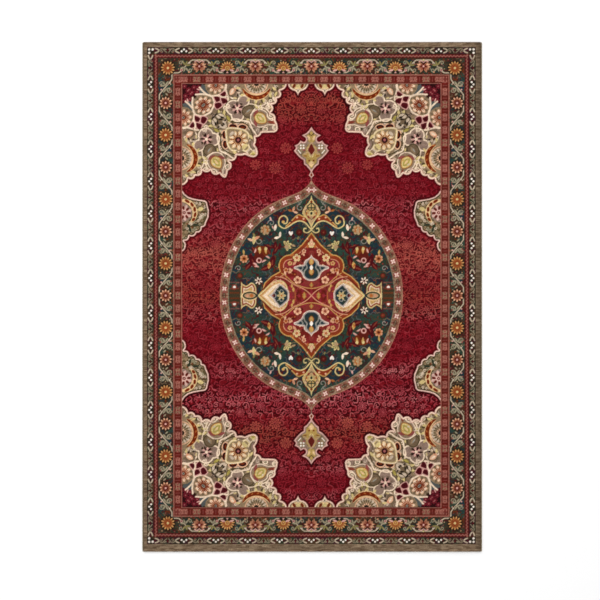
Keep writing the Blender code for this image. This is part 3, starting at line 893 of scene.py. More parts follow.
# %% Dark ground of the medallion: flowers
for x, y, turn, long in ((236, 160, 100, 80), (350, 250, 300, 60), (240, 240, 60, 70), (300, 150, 160, 80),
                         (330, 160, 70, 90), (212, 262, 90, 60), (268, 300, 200, 60), (350, 290, 240, 60),
                         (390, 150, 130, 70), (196, 292, 300, 60)):
    leaf(x, y, long, 0.42 * long, turn, "maroon")
    leaf(x, y, 0.7 * long, 0.14 * long, turn, "brick")
fill(smooth([(256, 240), (262, 284), (300, 292), (336, 280), (332, 244), (300, 230)], closed=True), "umber")
disc(308, 226, 30.0, "oxblood")
for x, y, turn in ((266, 244, 82), (304, 244, 92)):
    leaf(x, y, 46.0, 15.0, turn, "gold")
    disc(x + 2, y + 32, 9.0, "straw")
disc(308, 207, 17.0, "pink")
disc(308, 207, 9.0, "oxblood")
for x, y, turn in ((256, 217, 30), (318, 167, 10), (350, 250, 110), (330, 176, 30), (276, 210, 330)):
    leaf(x - 12, y, 32.0, 11.0, turn, "pink", 3.0)
for x, y, radius, outer, inner, eye in (
        (271, 387, 31, "tan", "copper", "straw"), (396, 217, 26, "salmon", "copper", "oxblood"),
        (71, 372, 20, "maroon", "oxblood", "brick"), (421, 117, 17, "oxblood", "brick", "rust")):
    disc(x, y, radius + 5, "green_black")
    rosette(x, y, radius, outer, inner, eye, 7, 30)
petals(146, 294, 5, 4.0, 32.0, 15.0, "straw", 60, 200)
petals(146, 294, 5, 6.0, 24.0, 7.0, "moss", 60, 200)
disc(146, 286, 12.0, "tan")
petals(311, 87, 6, 5.0, 24.0, 9.0, "ivory", 15)
disc(311, 87, 5.0, "maroon")
for x, y, long, turn, dye in ((186, 340, 38, 95, "ivory"), (186, 344, 36, 350, "ivory"),
                              (216, 380, 42, 100, "ivory"), (222, 392, 20, 60, "pink"),
                              (341, 300, 58, 96, "straw"), (341, 322, 38, 20, "peach"),
                              (338, 330, 40, 150, "salmon"), (330, 344, 30, 60, "moss"),
                              (251, 156, 46, 96, "gold"), (246, 166, 26, 60, "copper"),
                              (236, 440, 26, 70, "pink"), (171, 482, 24, 10, "maroon"),
                              (396, 240, 32, 80, "gold"), (241, 290, 34, 90, "bottle"),
                              (111, 492, 36, 110, "salmon"), (111, 496, 30, 20, "copper"),
                              (108, 496, 32, 200, "peach"), (271, 360, 44, 84, "tan"),
                              (120, 300, 30, 200, "tan"), (100, 340, 34, 60, "maroon"),
                              (190, 268, 44, 100, "maroon"), (80, 330, 20, 100, "moss"),
                              (120, 330, 34, 140, "plum"), (250, 350, 30, 120, "plum"),
                              (300, 420, 20, 160, "bottle"), (130, 440, 20, 200, "plum")):
    leaf(x, y, long, 0.42 * long, turn, dye)
for x, y in ((114, 372), (128, 372), (121, 360), (116, 366), (126, 366)):
    disc(x, y, 6.5, "white")
fill([(418, -40), (488, -40), (488, 40), (418, 40)], "brown")
for rise in (4, 16, 28):
    line([(426, rise), (480, rise)], 4, "green_black" if rise != 16 else "umber")
disc(453, 49, 17.0, "brick")
disc(453, 49, 9.0, "white")
line([(428, 42), (478, 42)], 5, "brick")
line([(424, 78), (482, 78)], 4, "dusk_rose")
line(ring_loops[0], 5, "green_black", closed=True)
print("flowers drawn")

# %% Heart of the medallion
cut_stencil("medallion_heart")
use(at())
ground("heart_ground", ("heart_red", "heart_crimson"), (26.0, 26.0), seed=81)
for x, y, draw in scatter(300, 380, 30.0, 83):
    leaf(x, y, 20.0, 8.0, draw.uniform(0, 360),
         draw.choice(("heart_red", "oxblood", "copper", "heart_crimson")))
nest("medallion_heart", (32, "salmon"), (27, "rust_warm"), (8, "copper"), (6, "gold"))
CRADLE = smooth([(312, 0), (286, 22), (262, 46), (236, 70), (206, 86), (176, 86), (154, 68), (142, 40),
                 (138, 0)])
fill(np.vstack([CRADLE, CRADLE[::-1] * (1, -1)]), "straw_peach")
for inset, width, dye in ((28, 16, "cream"), (17, 4, "gold"), (9, 4, "copper")):
    line((CRADLE - (200, 0)) * (1.0 - inset / 90.0) + (200, 0), width, dye)
line(CRADLE, 8, "straw")
line(smooth([(312, 14), (282, 40), (250, 72), (214, 100), (170, 104), (140, 84)]), 5, "oxblood")
for x, y, turn in ((236, 58, 120), (210, 72, 100), (180, 76, 80), (156, 60, 50)):
    leaf(x, y, 22.0, 10.0, turn, "peach")
line(smooth([(212, 112), (160, 102), (104, 66), (56, 44), (24, 24), (0, 0), (-24, -24)]), 6, "salmon")
line(smooth([(176, 132), (146, 112), (104, 74), (70, 58), (30, 46), (0, 42)]), 5, "gold")
line(smooth([(128, 60), (106, 40), (96, 20), (94, -20)]), 5, "copper")
for x, y, radius, outer, inner, eye in (
        (86, 222, 24, "straw", "peach", "copper"), (81, 92, 24, "peach", "salmon", "brick"),
        (126, 146, 18, "salmon", "peach", "gold"), (0, 302, 22, "straw", "peach", "copper"),
        (150, 150, 15, "salmon", "copper", "rust"), (66, 172, 14, "salmon", "peach", "rust"),
        (126, 190, 15, "gold", "salmon", "copper"), (44, 262, 14, "peach", "salmon", "rust")):
    disc(x, y, radius + 3, "heart_red")
    rosette(x, y, radius, outer, inner, eye, 5, 10)
leaf(0, 292, 44.0, 16.0, 90, "peach")
for x, y, long, turn, dye in ((106, 20, 30, 90, "gold"), (112, 44, 26, 80, "gold"),
                              (30, 100, 26, 30, "salmon"),
                              (110, 178, 34, 130, "salmon"), (60, 204, 24, 200, "oxblood"),
                              (96, 130, 26, 20, "oxblood"), (40, 232, 26, 60, "peach"),
                              (100, 246, 30, 330, "copper"), (20, 276, 26, 80, "copper"),
                              (150, 120, 26, 70, "peach"), (60, 70, 24, 120, "oxblood"),
                              (60, 240, 24, 140, "salmon"), (20, 330, 18, 60, "peach")):
    leaf(x, y, long, 0.45 * long, turn, dye)
for x, y in ((0, 62), (42, 6)):
    fill([(x, y + 20), (x + 14, y), (x, y - 20), (x - 14, y)], "copper")
    fill([(x, y + 12), (x + 8, y), (x, y - 12), (x - 8, y)], "old_gold")
print("heart drawn")

# %% Cartouches, crowns and flames
cut_stencil("cartouche_back")
use(at())
ground("slate", ("navy", "green_black"), (20.0, 20.0), seed=91)
use(*BOTH_SIDES)
line(smooth([(14, 216), (30, 190), (26, 164), (40, 146), (44, 122)]), 8, "steel")
line(smooth([(90, 168), (64, 176), (50, 164), (58, 150)]), 7, "steel")
use(at())
for y, long in ((176, 46), (118, 44)):
    leaf(0, y, long, 32.0, 90, "copper")
    leaf(0, y + 4, long - 8, 22.0, 90, "gold")
leaf(0, 150, 30.0, 20.0, 90, "white")
nest("cartouche_back", (11, "cartouche_edge"), (4, "ivory"))

cut_stencil("cartouche_right")
ground("slate", ("navy", "green_black"), (20.0, 20.0), seed=93)
disc(226, 0, 21.0, "steel", 18.0)
disc(226, 0, 15.0, "plum", 13.0)
disc(226, 0, 6.0, "brick")
line(smooth([(200, 30), (188, 24), (180, 34), (166, 30)]), 5, "steel")
petals(176, 0, 6, 4.0, 27.0, 13.0, "straw", 0)
petals(176, 0, 6, 6.0, 22.0, 6.0, "tan", 0)
disc(176, 0, 6.0, "copper")
nest("cartouche_right", (11, "cartouche_edge"), (4, "ivory"))

cut_stencil("crown_right")
ground("tan", ("straw_peach", "gold"), (16.0, 16.0), seed=95)
nest("crown_right", (20, "cream"), (15, "rust_warm"), (9, "tan"), (5, "straw"))
disc(362, 0, 50.0, "straw_peach", 31.0)
disc(362, 0, 43.0, "green_black", 23.0)
disc(362, 0, 34.0, "tan", 15.0)
disc(352, 0, 11.0, "copper")
disc(376, 0, 9.0, "salmon")

cut_stencil("flame_back")
use(*BOTH_SIDES)
ground("flame_tan", ("gold", "tan"), (16.0, 16.0), seed=97)
line(smooth([(0, 448), (26, 470), (34, 496), (22, 514), (26, 536), (12, 560), (0, 586)]), 5, "khaki_dark")
line(smooth([(4, 500), (18, 508), (20, 526), (8, 540), (0, 544)]), 5, "green_black")
leaf(8, 452, 26.0, 12.0, 50, "brick")
leaf(30, 474, 20.0, 10.0, 100, "copper")
line([(0, 517), (24, 517)], 6, "green_black")
leaf(4, 560, 22.0, 8.0, 70, "rust")
disc(36, 512, 6.0, "peach")
use(at())
line([(0, 500), (0, 544)], 5, "green_black")
disc(0, 486, 13.0, "straw", 15.0)
disc(0, 484, 7.0, "green_black", 9.0)
disc(0, 552, 7.0, "umber", 8.0)
leaf(0, 560, 36.0, 14.0, 90, "gold")
nest("flame_back", (5, "straw"))
print("medallion drawn")

# %% [markdown]
# ## The borders
# Five bands frame the field. Their flowers repeat at a fixed distance, counted from the middle of each
# side, and the vine between them is a wave that passes inside one flower and outside the next.

# %% Inner guard
guard_x = (BAND_X[0] + BAND_X[1]) / 2
guard_y = (BAND_Y[0] + BAND_Y[1]) / 2
cut_frame(0)
use(at())
ground("inner_red", ("heart_red", "oxblood"), (18.0, 18.0), seed=101)


def cross_block(x, y, turn, dye):
    """A stepped X with a small flower in its middle."""
    use(at(x, y, turn))
    disc(0, 0, 25.0, "block_red", 18.0)
    strokes(21.0, 9, dye, (38.0, 142.0))
    disc(0, 0, 8.0, "guard_pink")
    disc(0, 0, 4.5, "oxblood")
    for reach in (-19.0, 19.0):
        disc(reach, 0, 4.0, "guard_pink")
    for rise in (-15.0, 15.0):
        leaf(-9, rise, 18.0, 5.0, 0, "guard_pink")


BLOCK = 75.0


def block_row(count, start, step_by, turn):
    """Crossed blocks in a row, with a small bar between each two."""
    for step in range(count):
        cross_block(*(start + step * step_by), turn, "guard_pink" if step % 3 else "guard_tan")
        use(at(*(start + (step + 0.5) * step_by), turn))
        disc(0, 0, 7.0, "oxblood", 15.0)
        line([(0, -12), (0, 12)], 4, "dusk_rose")


block_row(18, np.array([guard_x, 0.0]), np.array([0.0, BLOCK]), 90)
block_row(11, np.array([0.0, guard_y]), np.array([BLOCK, 0.0]), 0)


def frame_line(level, depth, width, dye):
    """A line that runs around the rug, inside one of the band edges."""
    x, y = BAND_X[level] + depth, BAND_Y[level] + depth
    use(at())
    line([(x, -10.0), (x, y), (-10.0, y)], width, dye)


frame_line(0, 2, 6, "guard_pink")
frame_line(0, 8, 5, "oxblood")
frame_line(1, -10, 6, "oxblood")
frame_line(1, -3, 7, "guard_pink")
print("inner guard drawn")

# %% Main border: ground, vines and leaves
SIDE_PITCH = 378.0
END_PITCH = 330.0
cut_frame(1)
use(at())
ground("border_dark", ("green_black", "bottle", "border_brown"), (60.0, 60.0), seed=111)
main_x = (BAND_X[1] + BAND_X[2]) / 2
main_y = (BAND_Y[1] + BAND_Y[2]) / 2
for x, y, draw in scatter(BAND_X[2] + 20, BAND_Y[2] + 20, 26.0, 113):
    if x > BAND_X[1] - 30 or y > BAND_Y[1] - 30:
        dye = draw.choice(("brown", "khaki_dark", "bottle", "umber", "navy", "maroon", "border_brown"))
        line(at(x, y, draw.uniform(0, 360))(smooth([(-14, -4), (-4, 5), (6, -3), (16, 4)])), 5, dye)
        disc(x + 12, y + 8, 4.0, draw.choice(("tan", "brick", "sage", "brown", "dusk_rose", "brown")))
for x, y, across, up in ((main_x + 20, 470, 22, 30), (main_x - 15, 850, 20, 34),
                         (main_x + 22, 1230, 20, 40), (main_x + 8, 95, 24, 24),
                         (410, main_y + 18, 34, 18), (90, main_y - 18, 26, 20),
                         (580, main_y + 24, 26, 16)):
    disc(x, y, across, "navy", up)
VINE_REACH = 37.0


def vine(distances, pitch):
    """How far the vine stands off the middle of the band: it lingers beside a flower, then crosses."""
    return VINE_REACH * np.clip(1.45 * np.cos(distances * math.tau / pitch), -1.0, 1.0)


side_steps = np.arange(0.0, BAND_Y[1] + 2.0, 6.0)
side_vine = np.column_stack([main_x + vine(side_steps, SIDE_PITCH), side_steps])
end_steps = np.arange(0.0, BAND_X[1] - 60.0, 6.0)
end_vine = np.column_stack([end_steps, main_y + vine(end_steps, END_PITCH)])
corner_vine = smooth([side_vine[-4], side_vine[-1], (BAND_X[1] - 4, BAND_Y[1] + 9),
                      (BAND_X[1] - 34, BAND_Y[1] + 12), end_vine[-1]])
for width, dye in ((13, "night"), (8, "sage"), (4, "bone")):
    for path in (side_vine, end_vine, corner_vine):
        line(path, width, dye)


def fork(x, y, turn, dye):
    """Two leaves and a bud where a stem leaves the vine."""
    for lean, long in ((-60.0, 34.0), (0.0, 30.0), (60.0, 34.0)):
        leaf(x, y, long + 4, 0.46 * long, turn + lean, "night")
        leaf(x, y, long, 0.34 * long, turn + lean, dye)


for step in range(7):
    along_side = (step + 0.5) * SIDE_PITCH / 2
    sign = 1.0 if step % 2 else -1.0
    use(at(main_x, along_side, flip=sign))
    fork(-2, 6, 118, "sage")
    fork(4, -8, 296, "sage")
    curl(-26, 20, 13.0, 1.1, 0, 5, "sage")
    curl(26, -22, 13.0, 1.1, 180, 5, "sage")
    for x, y, size, dye in ((24, 24, 5, "bone"), (30, 16, 3.5, "bone"), (-26, -16, 5, "pink"),
                            (-20, -26, 4, "bone"), (30, -10, 5, "dusk_rose"), (-32, 4, 4, "dusk_rose")):
        disc(x, y, size, dye)
for step in range(5):
    along_end = (step + 0.5) * END_PITCH / 2
    sign = 1.0 if step % 2 else -1.0
    use(at(along_end, main_y, flip=sign))
    fork(0, 6, 64, "moss")
    fork(0, -6, 250, "sage")
    curl(-26, 20, 13.0, 1.1, 0, 5, "sage")
    curl(28, -22, 13.0, 1.1, 180, 5, "sage")
    for x, y, size, dye in ((-22, -22, 8, "pink"), (-22, -22, 4, "oxblood"), (26, 20, 5, "bone"),
                            (34, 12, 4, "dusk_rose"), (22, -34, 5, "salmon"), (-34, 2, 4, "dusk_rose")):
        disc(x, y, size, dye)
print("vines drawn")

# %% Main border: flowers
def border_flower(x, y, radius, tip, body, heart, eye, count):
    """A flower with each petal parted from the next by the dark ground."""
    use(at(x, y))
    disc(0, 0, radius + 4, "night")
    petals(0, 0, count, 0.3 * radius, radius, 1.16 * math.pi * radius / count, body)
    petals(0, 0, count, 0.62 * radius, 0.98 * radius, 0.6 * math.pi * radius / count, tip)
    petals(0, 0, count, 0.25 * radius, 0.62 * radius, 0.5 * math.pi * radius / count, heart)
    petals(0, 0, count, 0.4 * radius, 0.9 * radius, 0.24 * math.pi * radius / count, "umber",
           90.0 + 180.0 / count)
    disc(0, 0, 0.34 * radius, heart)
    disc(0, 0, 0.18 * radius, eye)


for step in range(4):
    border_flower(main_x, step * SIDE_PITCH, 38.0, "peach", "border_salmon", "oxblood", "pink", 11)
    leaf(-14, 44, 22.0, 9.0, 40, "sage")
    leaf(14, -44, 22.0, 9.0, 220, "sage")
for step in range(3):
    border_flower(main_x, (step + 0.5) * SIDE_PITCH, 42.0, "border_tip", "border_gold", "rust", "straw", 13)
for step in range(3):
    use(at(step * END_PITCH, main_y))
    disc(0, 0, 36.0, "night", 30.0)
    use(at(step * END_PITCH, main_y), at(step * END_PITCH, main_y, flip=-1.0))
    for lean, long, wide in ((292, 40, 17), (325, 36, 14), (354, 42, 14), (22, 42, 14), (50, 34, 13)):
        leaf(4, 0, long, wide, lean, "border_salmon")
        leaf(16, 0 if lean > 180 else 4, 0.6 * long, 0.4 * wide, lean, "peach")
        leaf(4, 0, 0.6 * long, 0.35 * wide, lean, "brick")
    line(smooth([(0, 24), (14, 32), (28, 26)]), 6, "pink")
    use(at(step * END_PITCH, main_y))
    strokes(16.0, 10, "oxblood", (0.0, 90.0))
    disc(0, 0, 6.0, "pink")
    disc(0, 38, 5.0, "straw")
for step in range(2):
    use(at((step + 0.5) * END_PITCH, main_y - 14))
    disc(0, 8, 46.0, "night", 38.0)
    petals(0, 0, 9, 12.0, 45.0, 12.0, "border_gold", 0, 180)
    petals(0, 0, 9, 26.0, 43.0, 6.0, "border_tip", 0, 180)
    petals(0, 0, 9, 12.0, 28.0, 5.0, "rust", 0, 180)
    leaf(-10, -4, 34.0, 13.0, 200, "pink")
    leaf(10, -4, 34.0, 13.0, 340, "pink")
    disc(0, 2, 14.0, "gold")
    disc(0, 2, 8.0, "rust")
    disc(0, 2, 3.5, "straw")
    fill([(-8, -26), (8, -26), (0, -14)], "pink")
border_flower(main_x - 13, main_y - 10, 42.0, "border_tip", "border_gold", "rust", "straw", 13)
print("border flowers drawn")

# %% Red stripe and outer guard
cut_frame(2)
use(at())
ground("stripe_red", ("oxblood", "maroon"), (14.0, 14.0), seed=121)
stripe_x = (BAND_X[2] + BAND_X[3]) / 2
stripe_y = (BAND_Y[2] + BAND_Y[3]) / 2
ZIGZAG = 10.0


def zigzag(length):
    """Distances along a band, and how far the stripe's line swings to one side at each."""
    steps = np.arange(0.0, length, ZIGZAG)
    return steps, 3.5 * np.cos(steps * math.pi / ZIGZAG)


steps, sway = zigzag(BAND_Y[3])
line(np.column_stack([stripe_x + sway, steps]), 7, "stripe_pink")
steps, sway = zigzag(BAND_X[3])
line(np.column_stack([steps, stripe_y + sway]), 7, "stripe_pink")

cut_frame(3)
use(at())
ground("guard_dark", ("green_black", "brown", "plum"), (30.0, 30.0), seed=131)
outer_x = (BAND_X[3] + BAND_X[4]) / 2
outer_y = (BAND_Y[3] + BAND_Y[4]) / 2


def guard_arm(length):
    """From a group of dots outwards: a chevron of two leaves, then the vine with its curls and berries."""
    line(smooth([(29, -13), (42, -8), (50, 0), (42, 8), (29, 13)]), 8, "guard_leaf")
    line(smooth([(50, 0), (60, 10), (72, 11), (82, 0), (length - 4, -11)]), 5, "guard_vine")
    curl(67, -5, 9.0, 1.0, 90, 4.5, "guard_vine")
    leaf(76, 10, 22.0, 8.0, 350, "guard_vine")
    disc(62, -11, 3.5, "brick")
    disc(24, 0, 5.0, "maroon")
    fill([(length, 12), (length - 6, 4), (length, -4), (length + 6, 4)], "maroon")


def guard_repeat(x, y, turn, pitch):
    """One repeat of the outer guard: a chevron of dots between two arms."""
    use(at(x, y, turn), at(x, y, turn, flip=-1.0))
    guard_arm(pitch / 2)
    disc(14, -4, 6.0, "white")
    use(at(x, y, turn))
    disc(0, 7, 6.0, "white")


GUARD_SIDE, GUARD_END = 190.0, 187.5
GUARD_OFFSET = 103.0
for step in range(-1, 7):
    guard_repeat(outer_x, GUARD_OFFSET + step * GUARD_SIDE, -90, GUARD_SIDE)
for step in range(5):
    guard_repeat(step * GUARD_END, outer_y, 0, GUARD_END)
use(at(outer_x, outer_y, -90), at(outer_x, outer_y, flip=-1.0))
guard_arm(100.0)
use(at(outer_x, outer_y))
disc(0, 0, 20.0, "guard_dark")
for x, y in ((-13, 7), (7, 7), (7, -13)):
    disc(x, y, 7.0, "white")
cut_frame(4)
use(at())
ground("taupe", ("taupe_light", "taupe_dark"), (26.0, 3.0), seed=141)
print("borders drawn")

# %% [markdown]
# ## From cartoon to yarn
# The quarter drawing is mirrored to the whole rug and read at every knot. A hand or machine weave is never
# perfectly even, so each knot is dyed a little lighter or darker, and the red field changes tone in long
# soft bands across the rug, which weavers call abrash.

# %% Colour of every knot
PILE_LOW = np.array(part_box("plain_band_front")[0][:2])
PILE_HIGH = np.array(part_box("plain_band_back")[1][:2])
KNOTS = np.round((PILE_HIGH - PILE_LOW) / MM / KNOT).astype(int)
STEP = (PILE_HIGH - PILE_LOW) / KNOTS
print("knots:", KNOTS, "each", np.round(STEP / MM, 4), "mm")


def squares(x, y, shift_x=0.0, shift_y=0.0):
    """The row and column of the square under each place, in metres, moved by a part of a knot."""
    across = np.abs(x - DESIGN_CENTRE[0]) / MM + shift_x * KNOT
    up = np.abs(y - DESIGN_CENTRE[1]) / MM + shift_y * KNOT
    row = np.clip(up / SQUARE, 0, ROWS - 1).astype(int)
    column = np.clip(across / SQUARE, 0, COLUMNS - 1).astype(int)
    return row, column


def cartoon_at(x, y):
    """The drawing's colours at places on the rug, in metres, averaged over the size of a knot."""
    shifts = [(shift_x, shift_y) for shift_x in (-0.25, 0.25) for shift_y in (-0.25, 0.25)]
    return sum(cartoon[squares(x, y, *shift)] for shift in shifts) / 4


lattice_x = PILE_LOW[0] + np.arange(KNOTS[0] + 1) * STEP[0]
lattice_y = PILE_LOW[1] + np.arange(KNOTS[1] + 1) * STEP[1]
grid_x, grid_y = np.meshgrid(lattice_x, lattice_y)
yarn = cartoon_at(grid_x, grid_y)

# %% Abrash and uneven dye
# Soft bands over the field: middle and reach along Y in metres, how much stronger the pattern gets, how
# far the dye shifts, and the dye that it leans to. The pale parts of the pattern take more of the shift.
ABRASH = ((0.00, 0.11, 0.5, 0.50, "ember"), (0.23, 0.10, 0.8, 0.80, "clay"),
          (-0.09, 0.05, 0.7, 0.10, "rose"), (0.53, 0.05, 0.9, 0.24, "rose"),
          (0.40, 0.05, 0.3, 0.14, "rose"), (1.12, 0.10, 1.3, 0.55, "ember"),
          (-0.44, 0.05, 1.1, 0.18, "rose"), (-0.61, 0.09, 1.2, 0.14, "rose"),
          (-0.82, 0.10, 1.1, 0.44, "ember"), (-1.00, 0.05, 0.9, 0.20, "rose"),
          (-1.18, 0.06, 0.5, 0.10, "rose"))
# Between the bands the pattern is this much fainter than it was drawn.
CALM = 0.75
# The plain band is a little darker on the right, from this X onwards, over this width.
DARKER_FROM, DARKER_OVER, DARKER_BY = 0.955, 0.02, 0.16
streaks = cloud(KNOTS[1] + 1, KNOTS[0] + 1, (110.0, 4.0), 151) - 0.5
patchy = cloud(KNOTS[1] + 1, KNOTS[0] + 1, (70.0, 14.0), 153)
cut_stencil("field_pile")
in_field = stencil[squares(grid_x, grid_y)]
# Only crimson yarn takes part: its red is far stronger than its green.
crimson_share = np.clip((yarn[..., 0] - 2.3 * yarn[..., 1]) * 8.0, 0.0, 1.0) * in_field
plain_field = DYES["crimson"]
contrast = np.full(grid_x.shape, CALM)
for middle_y, reach, stronger, shift, dye in ABRASH:
    contrast += stronger * np.exp(-((grid_y - middle_y) / reach) ** 2) * (0.4 + 1.2 * patchy)
swing = plain_field + (yarn - plain_field) * contrast[..., None]
yarn += (swing - yarn) * crimson_share[..., None]
pale = np.clip((yarn[..., 0] - 0.30) / 0.25, 0.15, 1.3)
for middle_y, reach, stronger, shift, dye in ABRASH:
    veil = np.exp(-((grid_y - middle_y) / reach) ** 2) * shift * (0.5 + patchy) * pale * crimson_share
    yarn += (DYES[dye] - yarn) * np.clip(veil * 1.6, 0.0, 0.85)[..., None]
KNOT_SPREAD = 0.07
STREAK_SPREAD = 0.12
draw = np.random.default_rng(161)
knot_tone = 1.0 + draw.normal(0.0, KNOT_SPREAD, grid_x.shape) + STREAK_SPREAD * streaks
edge_shade = 1.0 - DARKER_BY * np.clip((grid_x - DARKER_FROM) / DARKER_OVER, 0.0, 1.0)
yarn = np.clip(yarn * (knot_tone * edge_shade)[..., None], 0.0, 1.0)
KNOT_COLOUR = to_linear(yarn)
print("mean colour of the pile:", np.round(yarn.mean(axis=(0, 1)) * 255))

# %% [markdown]
# ## Height of the pile
# Sheared pile is level to within a fraction of a millimetre, but a rug that has lain rolled up keeps a
# slight swell. All parts of the pile share one height map, so their edges meet.

# %% Height of every knot
SWELL = 0.0005
SHEAR = 0.0003
LEAN = 0.00025
swell = cloud(KNOTS[1] + 1, KNOTS[0] + 1, (90.0, 60.0), 171) - 0.5
knot_height = PILE_TOP + SWELL * swell + draw.normal(0.0, SHEAR, grid_x.shape).clip(-2 * SHEAR, 2 * SHEAR)
knot_lean = draw.normal(0.0, LEAN, grid_x.shape + (2,)).clip(-2 * LEAN, 2 * LEAN)
print("pile height, mm:", round(float(knot_height.min()) / MM, 2), round(float(knot_height.max()) / MM, 2))

# %% [markdown]
# ## Materials
# Wool-look polypropylene pile scatters light from thousands of fibre ends: it is matt, slightly brighter at
# grazing angles, and each tuft catches the light a little differently, shown by a painted highlight in the
# middle of each tuft and painted shade at its edge. One function adds nodes, and the yarn's own colour, with
# painted shade at the foot of the pile, comes from an attribute on the mesh, which moves with it.

# %% Node helper
def add(tree, kind, settings=None, **sockets):
    """Adds a node; a socket named after a keyword takes a value or another node's output."""
    node = tree.nodes.new(kind)
    for name, value in (settings or {}).items():
        setattr(node, name, value)
    for name, value in sockets.items():
        names = [s.name.lower().replace(" ", "_") for s in node.inputs]
        places = [i for i, key in enumerate(names) if key == name and node.inputs[i].enabled]
        socket = node.inputs[places[0]] if places else node.inputs[int(name.lstrip("i"))]
        if isinstance(value, bpy.types.NodeSocket):
            tree.links.new(value, socket)
        else:
            socket.default_value = value
    return node


def new_material(name):
    """An empty material and its node tree."""
    material = bpy.data.materials.new(name)
    material.use_nodes = True
    material.node_tree.nodes.clear()
    return material, material.node_tree


# %% Pile yarn
KNOTS_PER_METRE = 1000.0 / KNOT
FIBRES_PER_METRE = 1000.0 / 0.8


def pile_yarn(name, rough, sheen):
    """Cut pile of heat-set polypropylene yarn: matt and soft, with tufts that lie unevenly, each with a
    painted highlight in its middle and painted shade at its edge.
    """
    material, tree = new_material(name)
    place = add(tree, "ShaderNodeTexCoord").outputs["Object"]
    # The dye attribute holds the knot colours, with painted shade at the foot of the pile.
    dye = add(tree, "ShaderNodeAttribute", {"attribute_name": "dye"}).outputs["Color"]
    # Tufts: one cell to each knot. Fibres: finer than the eye separates, drawn at 0.8 mm.
    tufts = add(tree, "ShaderNodeTexVoronoi", {"voronoi_dimensions": "3D"}, vector=place,
                scale=KNOTS_PER_METRE, randomness=0.6)
    fibres = add(tree, "ShaderNodeTexNoise", None, vector=place, scale=FIBRES_PER_METRE, detail=2.0)
    patches = add(tree, "ShaderNodeTexNoise", None, vector=place, scale=18.0, detail=3.0)
    # Painted light and shade: each tuft is lighter in its middle and darker towards its edge, where the gaps
    # between tufts lie in shade.
    shade = add(tree, "ShaderNodeMapRange", None, value=tufts.outputs["Distance"], from_max=0.8,
                to_min=1.06, to_max=0.80).outputs[0]
    fibre_shade = add(tree, "ShaderNodeMapRange", None, value=fibres.outputs[0], from_min=0.3, from_max=0.7,
                      to_min=0.92, to_max=1.08).outputs[0]
    patch_shade = add(tree, "ShaderNodeMapRange", None, value=patches.outputs[0], from_min=0.3, from_max=0.7,
                      to_min=0.96, to_max=1.04).outputs[0]
    both = add(tree, "ShaderNodeMath", {"operation": "MULTIPLY"}, i0=shade, i1=fibre_shade).outputs[0]
    tone = add(tree, "ShaderNodeMath", {"operation": "MULTIPLY"}, i0=both, i1=patch_shade).outputs[0]
    colour = add(tree, "ShaderNodeVectorMath", {"operation": "SCALE"}, i0=dye, scale=tone).outputs[0]
    relief = add(tree, "ShaderNodeMath", {"operation": "SUBTRACT"}, i0=fibres.outputs[0],
                 i1=tufts.outputs["Distance"]).outputs[0]
    bump = add(tree, "ShaderNodeBump", None, strength=0.6, distance=0.0012, height=relief).outputs[0]
    surface = add(tree, "ShaderNodeBsdfPrincipled", None, base_color=colour, roughness=rough, ior=1.49,
                  specular_ior_level=0.03, sheen_weight=sheen, sheen_roughness=0.6, normal=bump)
    add(tree, "ShaderNodeOutputMaterial", None, surface=surface.outputs[0])
    return material


PILE_MATERIAL = pile_yarn("heat_set_polypropylene_cut_pile", 0.95, 0.02)
print("pile material:", len(PILE_MATERIAL.node_tree.nodes), "nodes")

# %% [markdown]
# ## Growing the pile
# Each part of the design is its own piece. It starts as a grid over its own part of the lattice, loses the
# faces that belong to other parts, and gets its walls by extruding the boundary down to the ground weave.

# %% Finished meshes and pieces
def finished_mesh(bm, name):
    """Turns a working mesh into one that an object can carry."""
    mesh = bpy.data.meshes.new(name)
    bm.to_mesh(mesh)
    bm.free()
    return mesh


def hand_over(name, mesh, material, node, material_slot):
    """Makes the finished piece, hangs it from the rug's root, and hides the node of the frame that it stands
    for.
    """
    mesh.materials.append(material)
    piece = bpy.data.objects.new(name, mesh)
    bpy.context.scene.collection.objects.link(piece)
    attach(piece, "root")
    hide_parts(node)
    return piece


# %% Which part of the pile each knot belongs to
PARTS = sorted(OUTLINES)
centre_x = (lattice_x[:-1] + lattice_x[1:]) / 2
centre_y = (lattice_y[:-1] + lattice_y[1:]) / 2
owner = np.full((KNOTS[1], KNOTS[0]), -1)


def inside_lattice(loops):
    """Which knots have their middle inside the loops, counted row by row."""
    marks = np.zeros((len(centre_y), len(centre_x) + 1), dtype=int)
    for loop in loops:
        path = loop * MM + DESIGN_CENTRE
        for (x0, y0), (x1, y1) in zip(path, np.roll(path, -1, axis=0)):
            first, last = np.searchsorted(centre_y, sorted((y0, y1)))
            if first == last:
                continue
            rows = np.arange(first, last)
            x = x0 + (centre_y[rows] - y0) * (x1 - x0) / (y1 - y0)
            marks[rows, np.searchsorted(centre_x, x)] += 1
    return np.cumsum(marks, axis=1)[:, :-1] % 2 == 1


for index, node in enumerate(PARTS):
    owner[inside_lattice(OUTLINES[node])] = index
print("knots without a part:", int((owner < 0).sum()))


def settle(missing):
    """Gives each knot in a parting line to the part beside it."""
    for shift, axis in ((1, 0), (-1, 0), (1, 1), (-1, 1)):
        rolled = np.roll(missing, shift, axis=axis)
        missing = np.where(missing < 0, rolled, missing)
    return missing


owner = settle(owner)
print("knots without a part after settling:", int((owner < 0).sum()))


# %% One piece of pile
# Deep in the pile little light arrives, so the foot of each tuft is darker than its tip.
FOOT_SHADE = 0.55


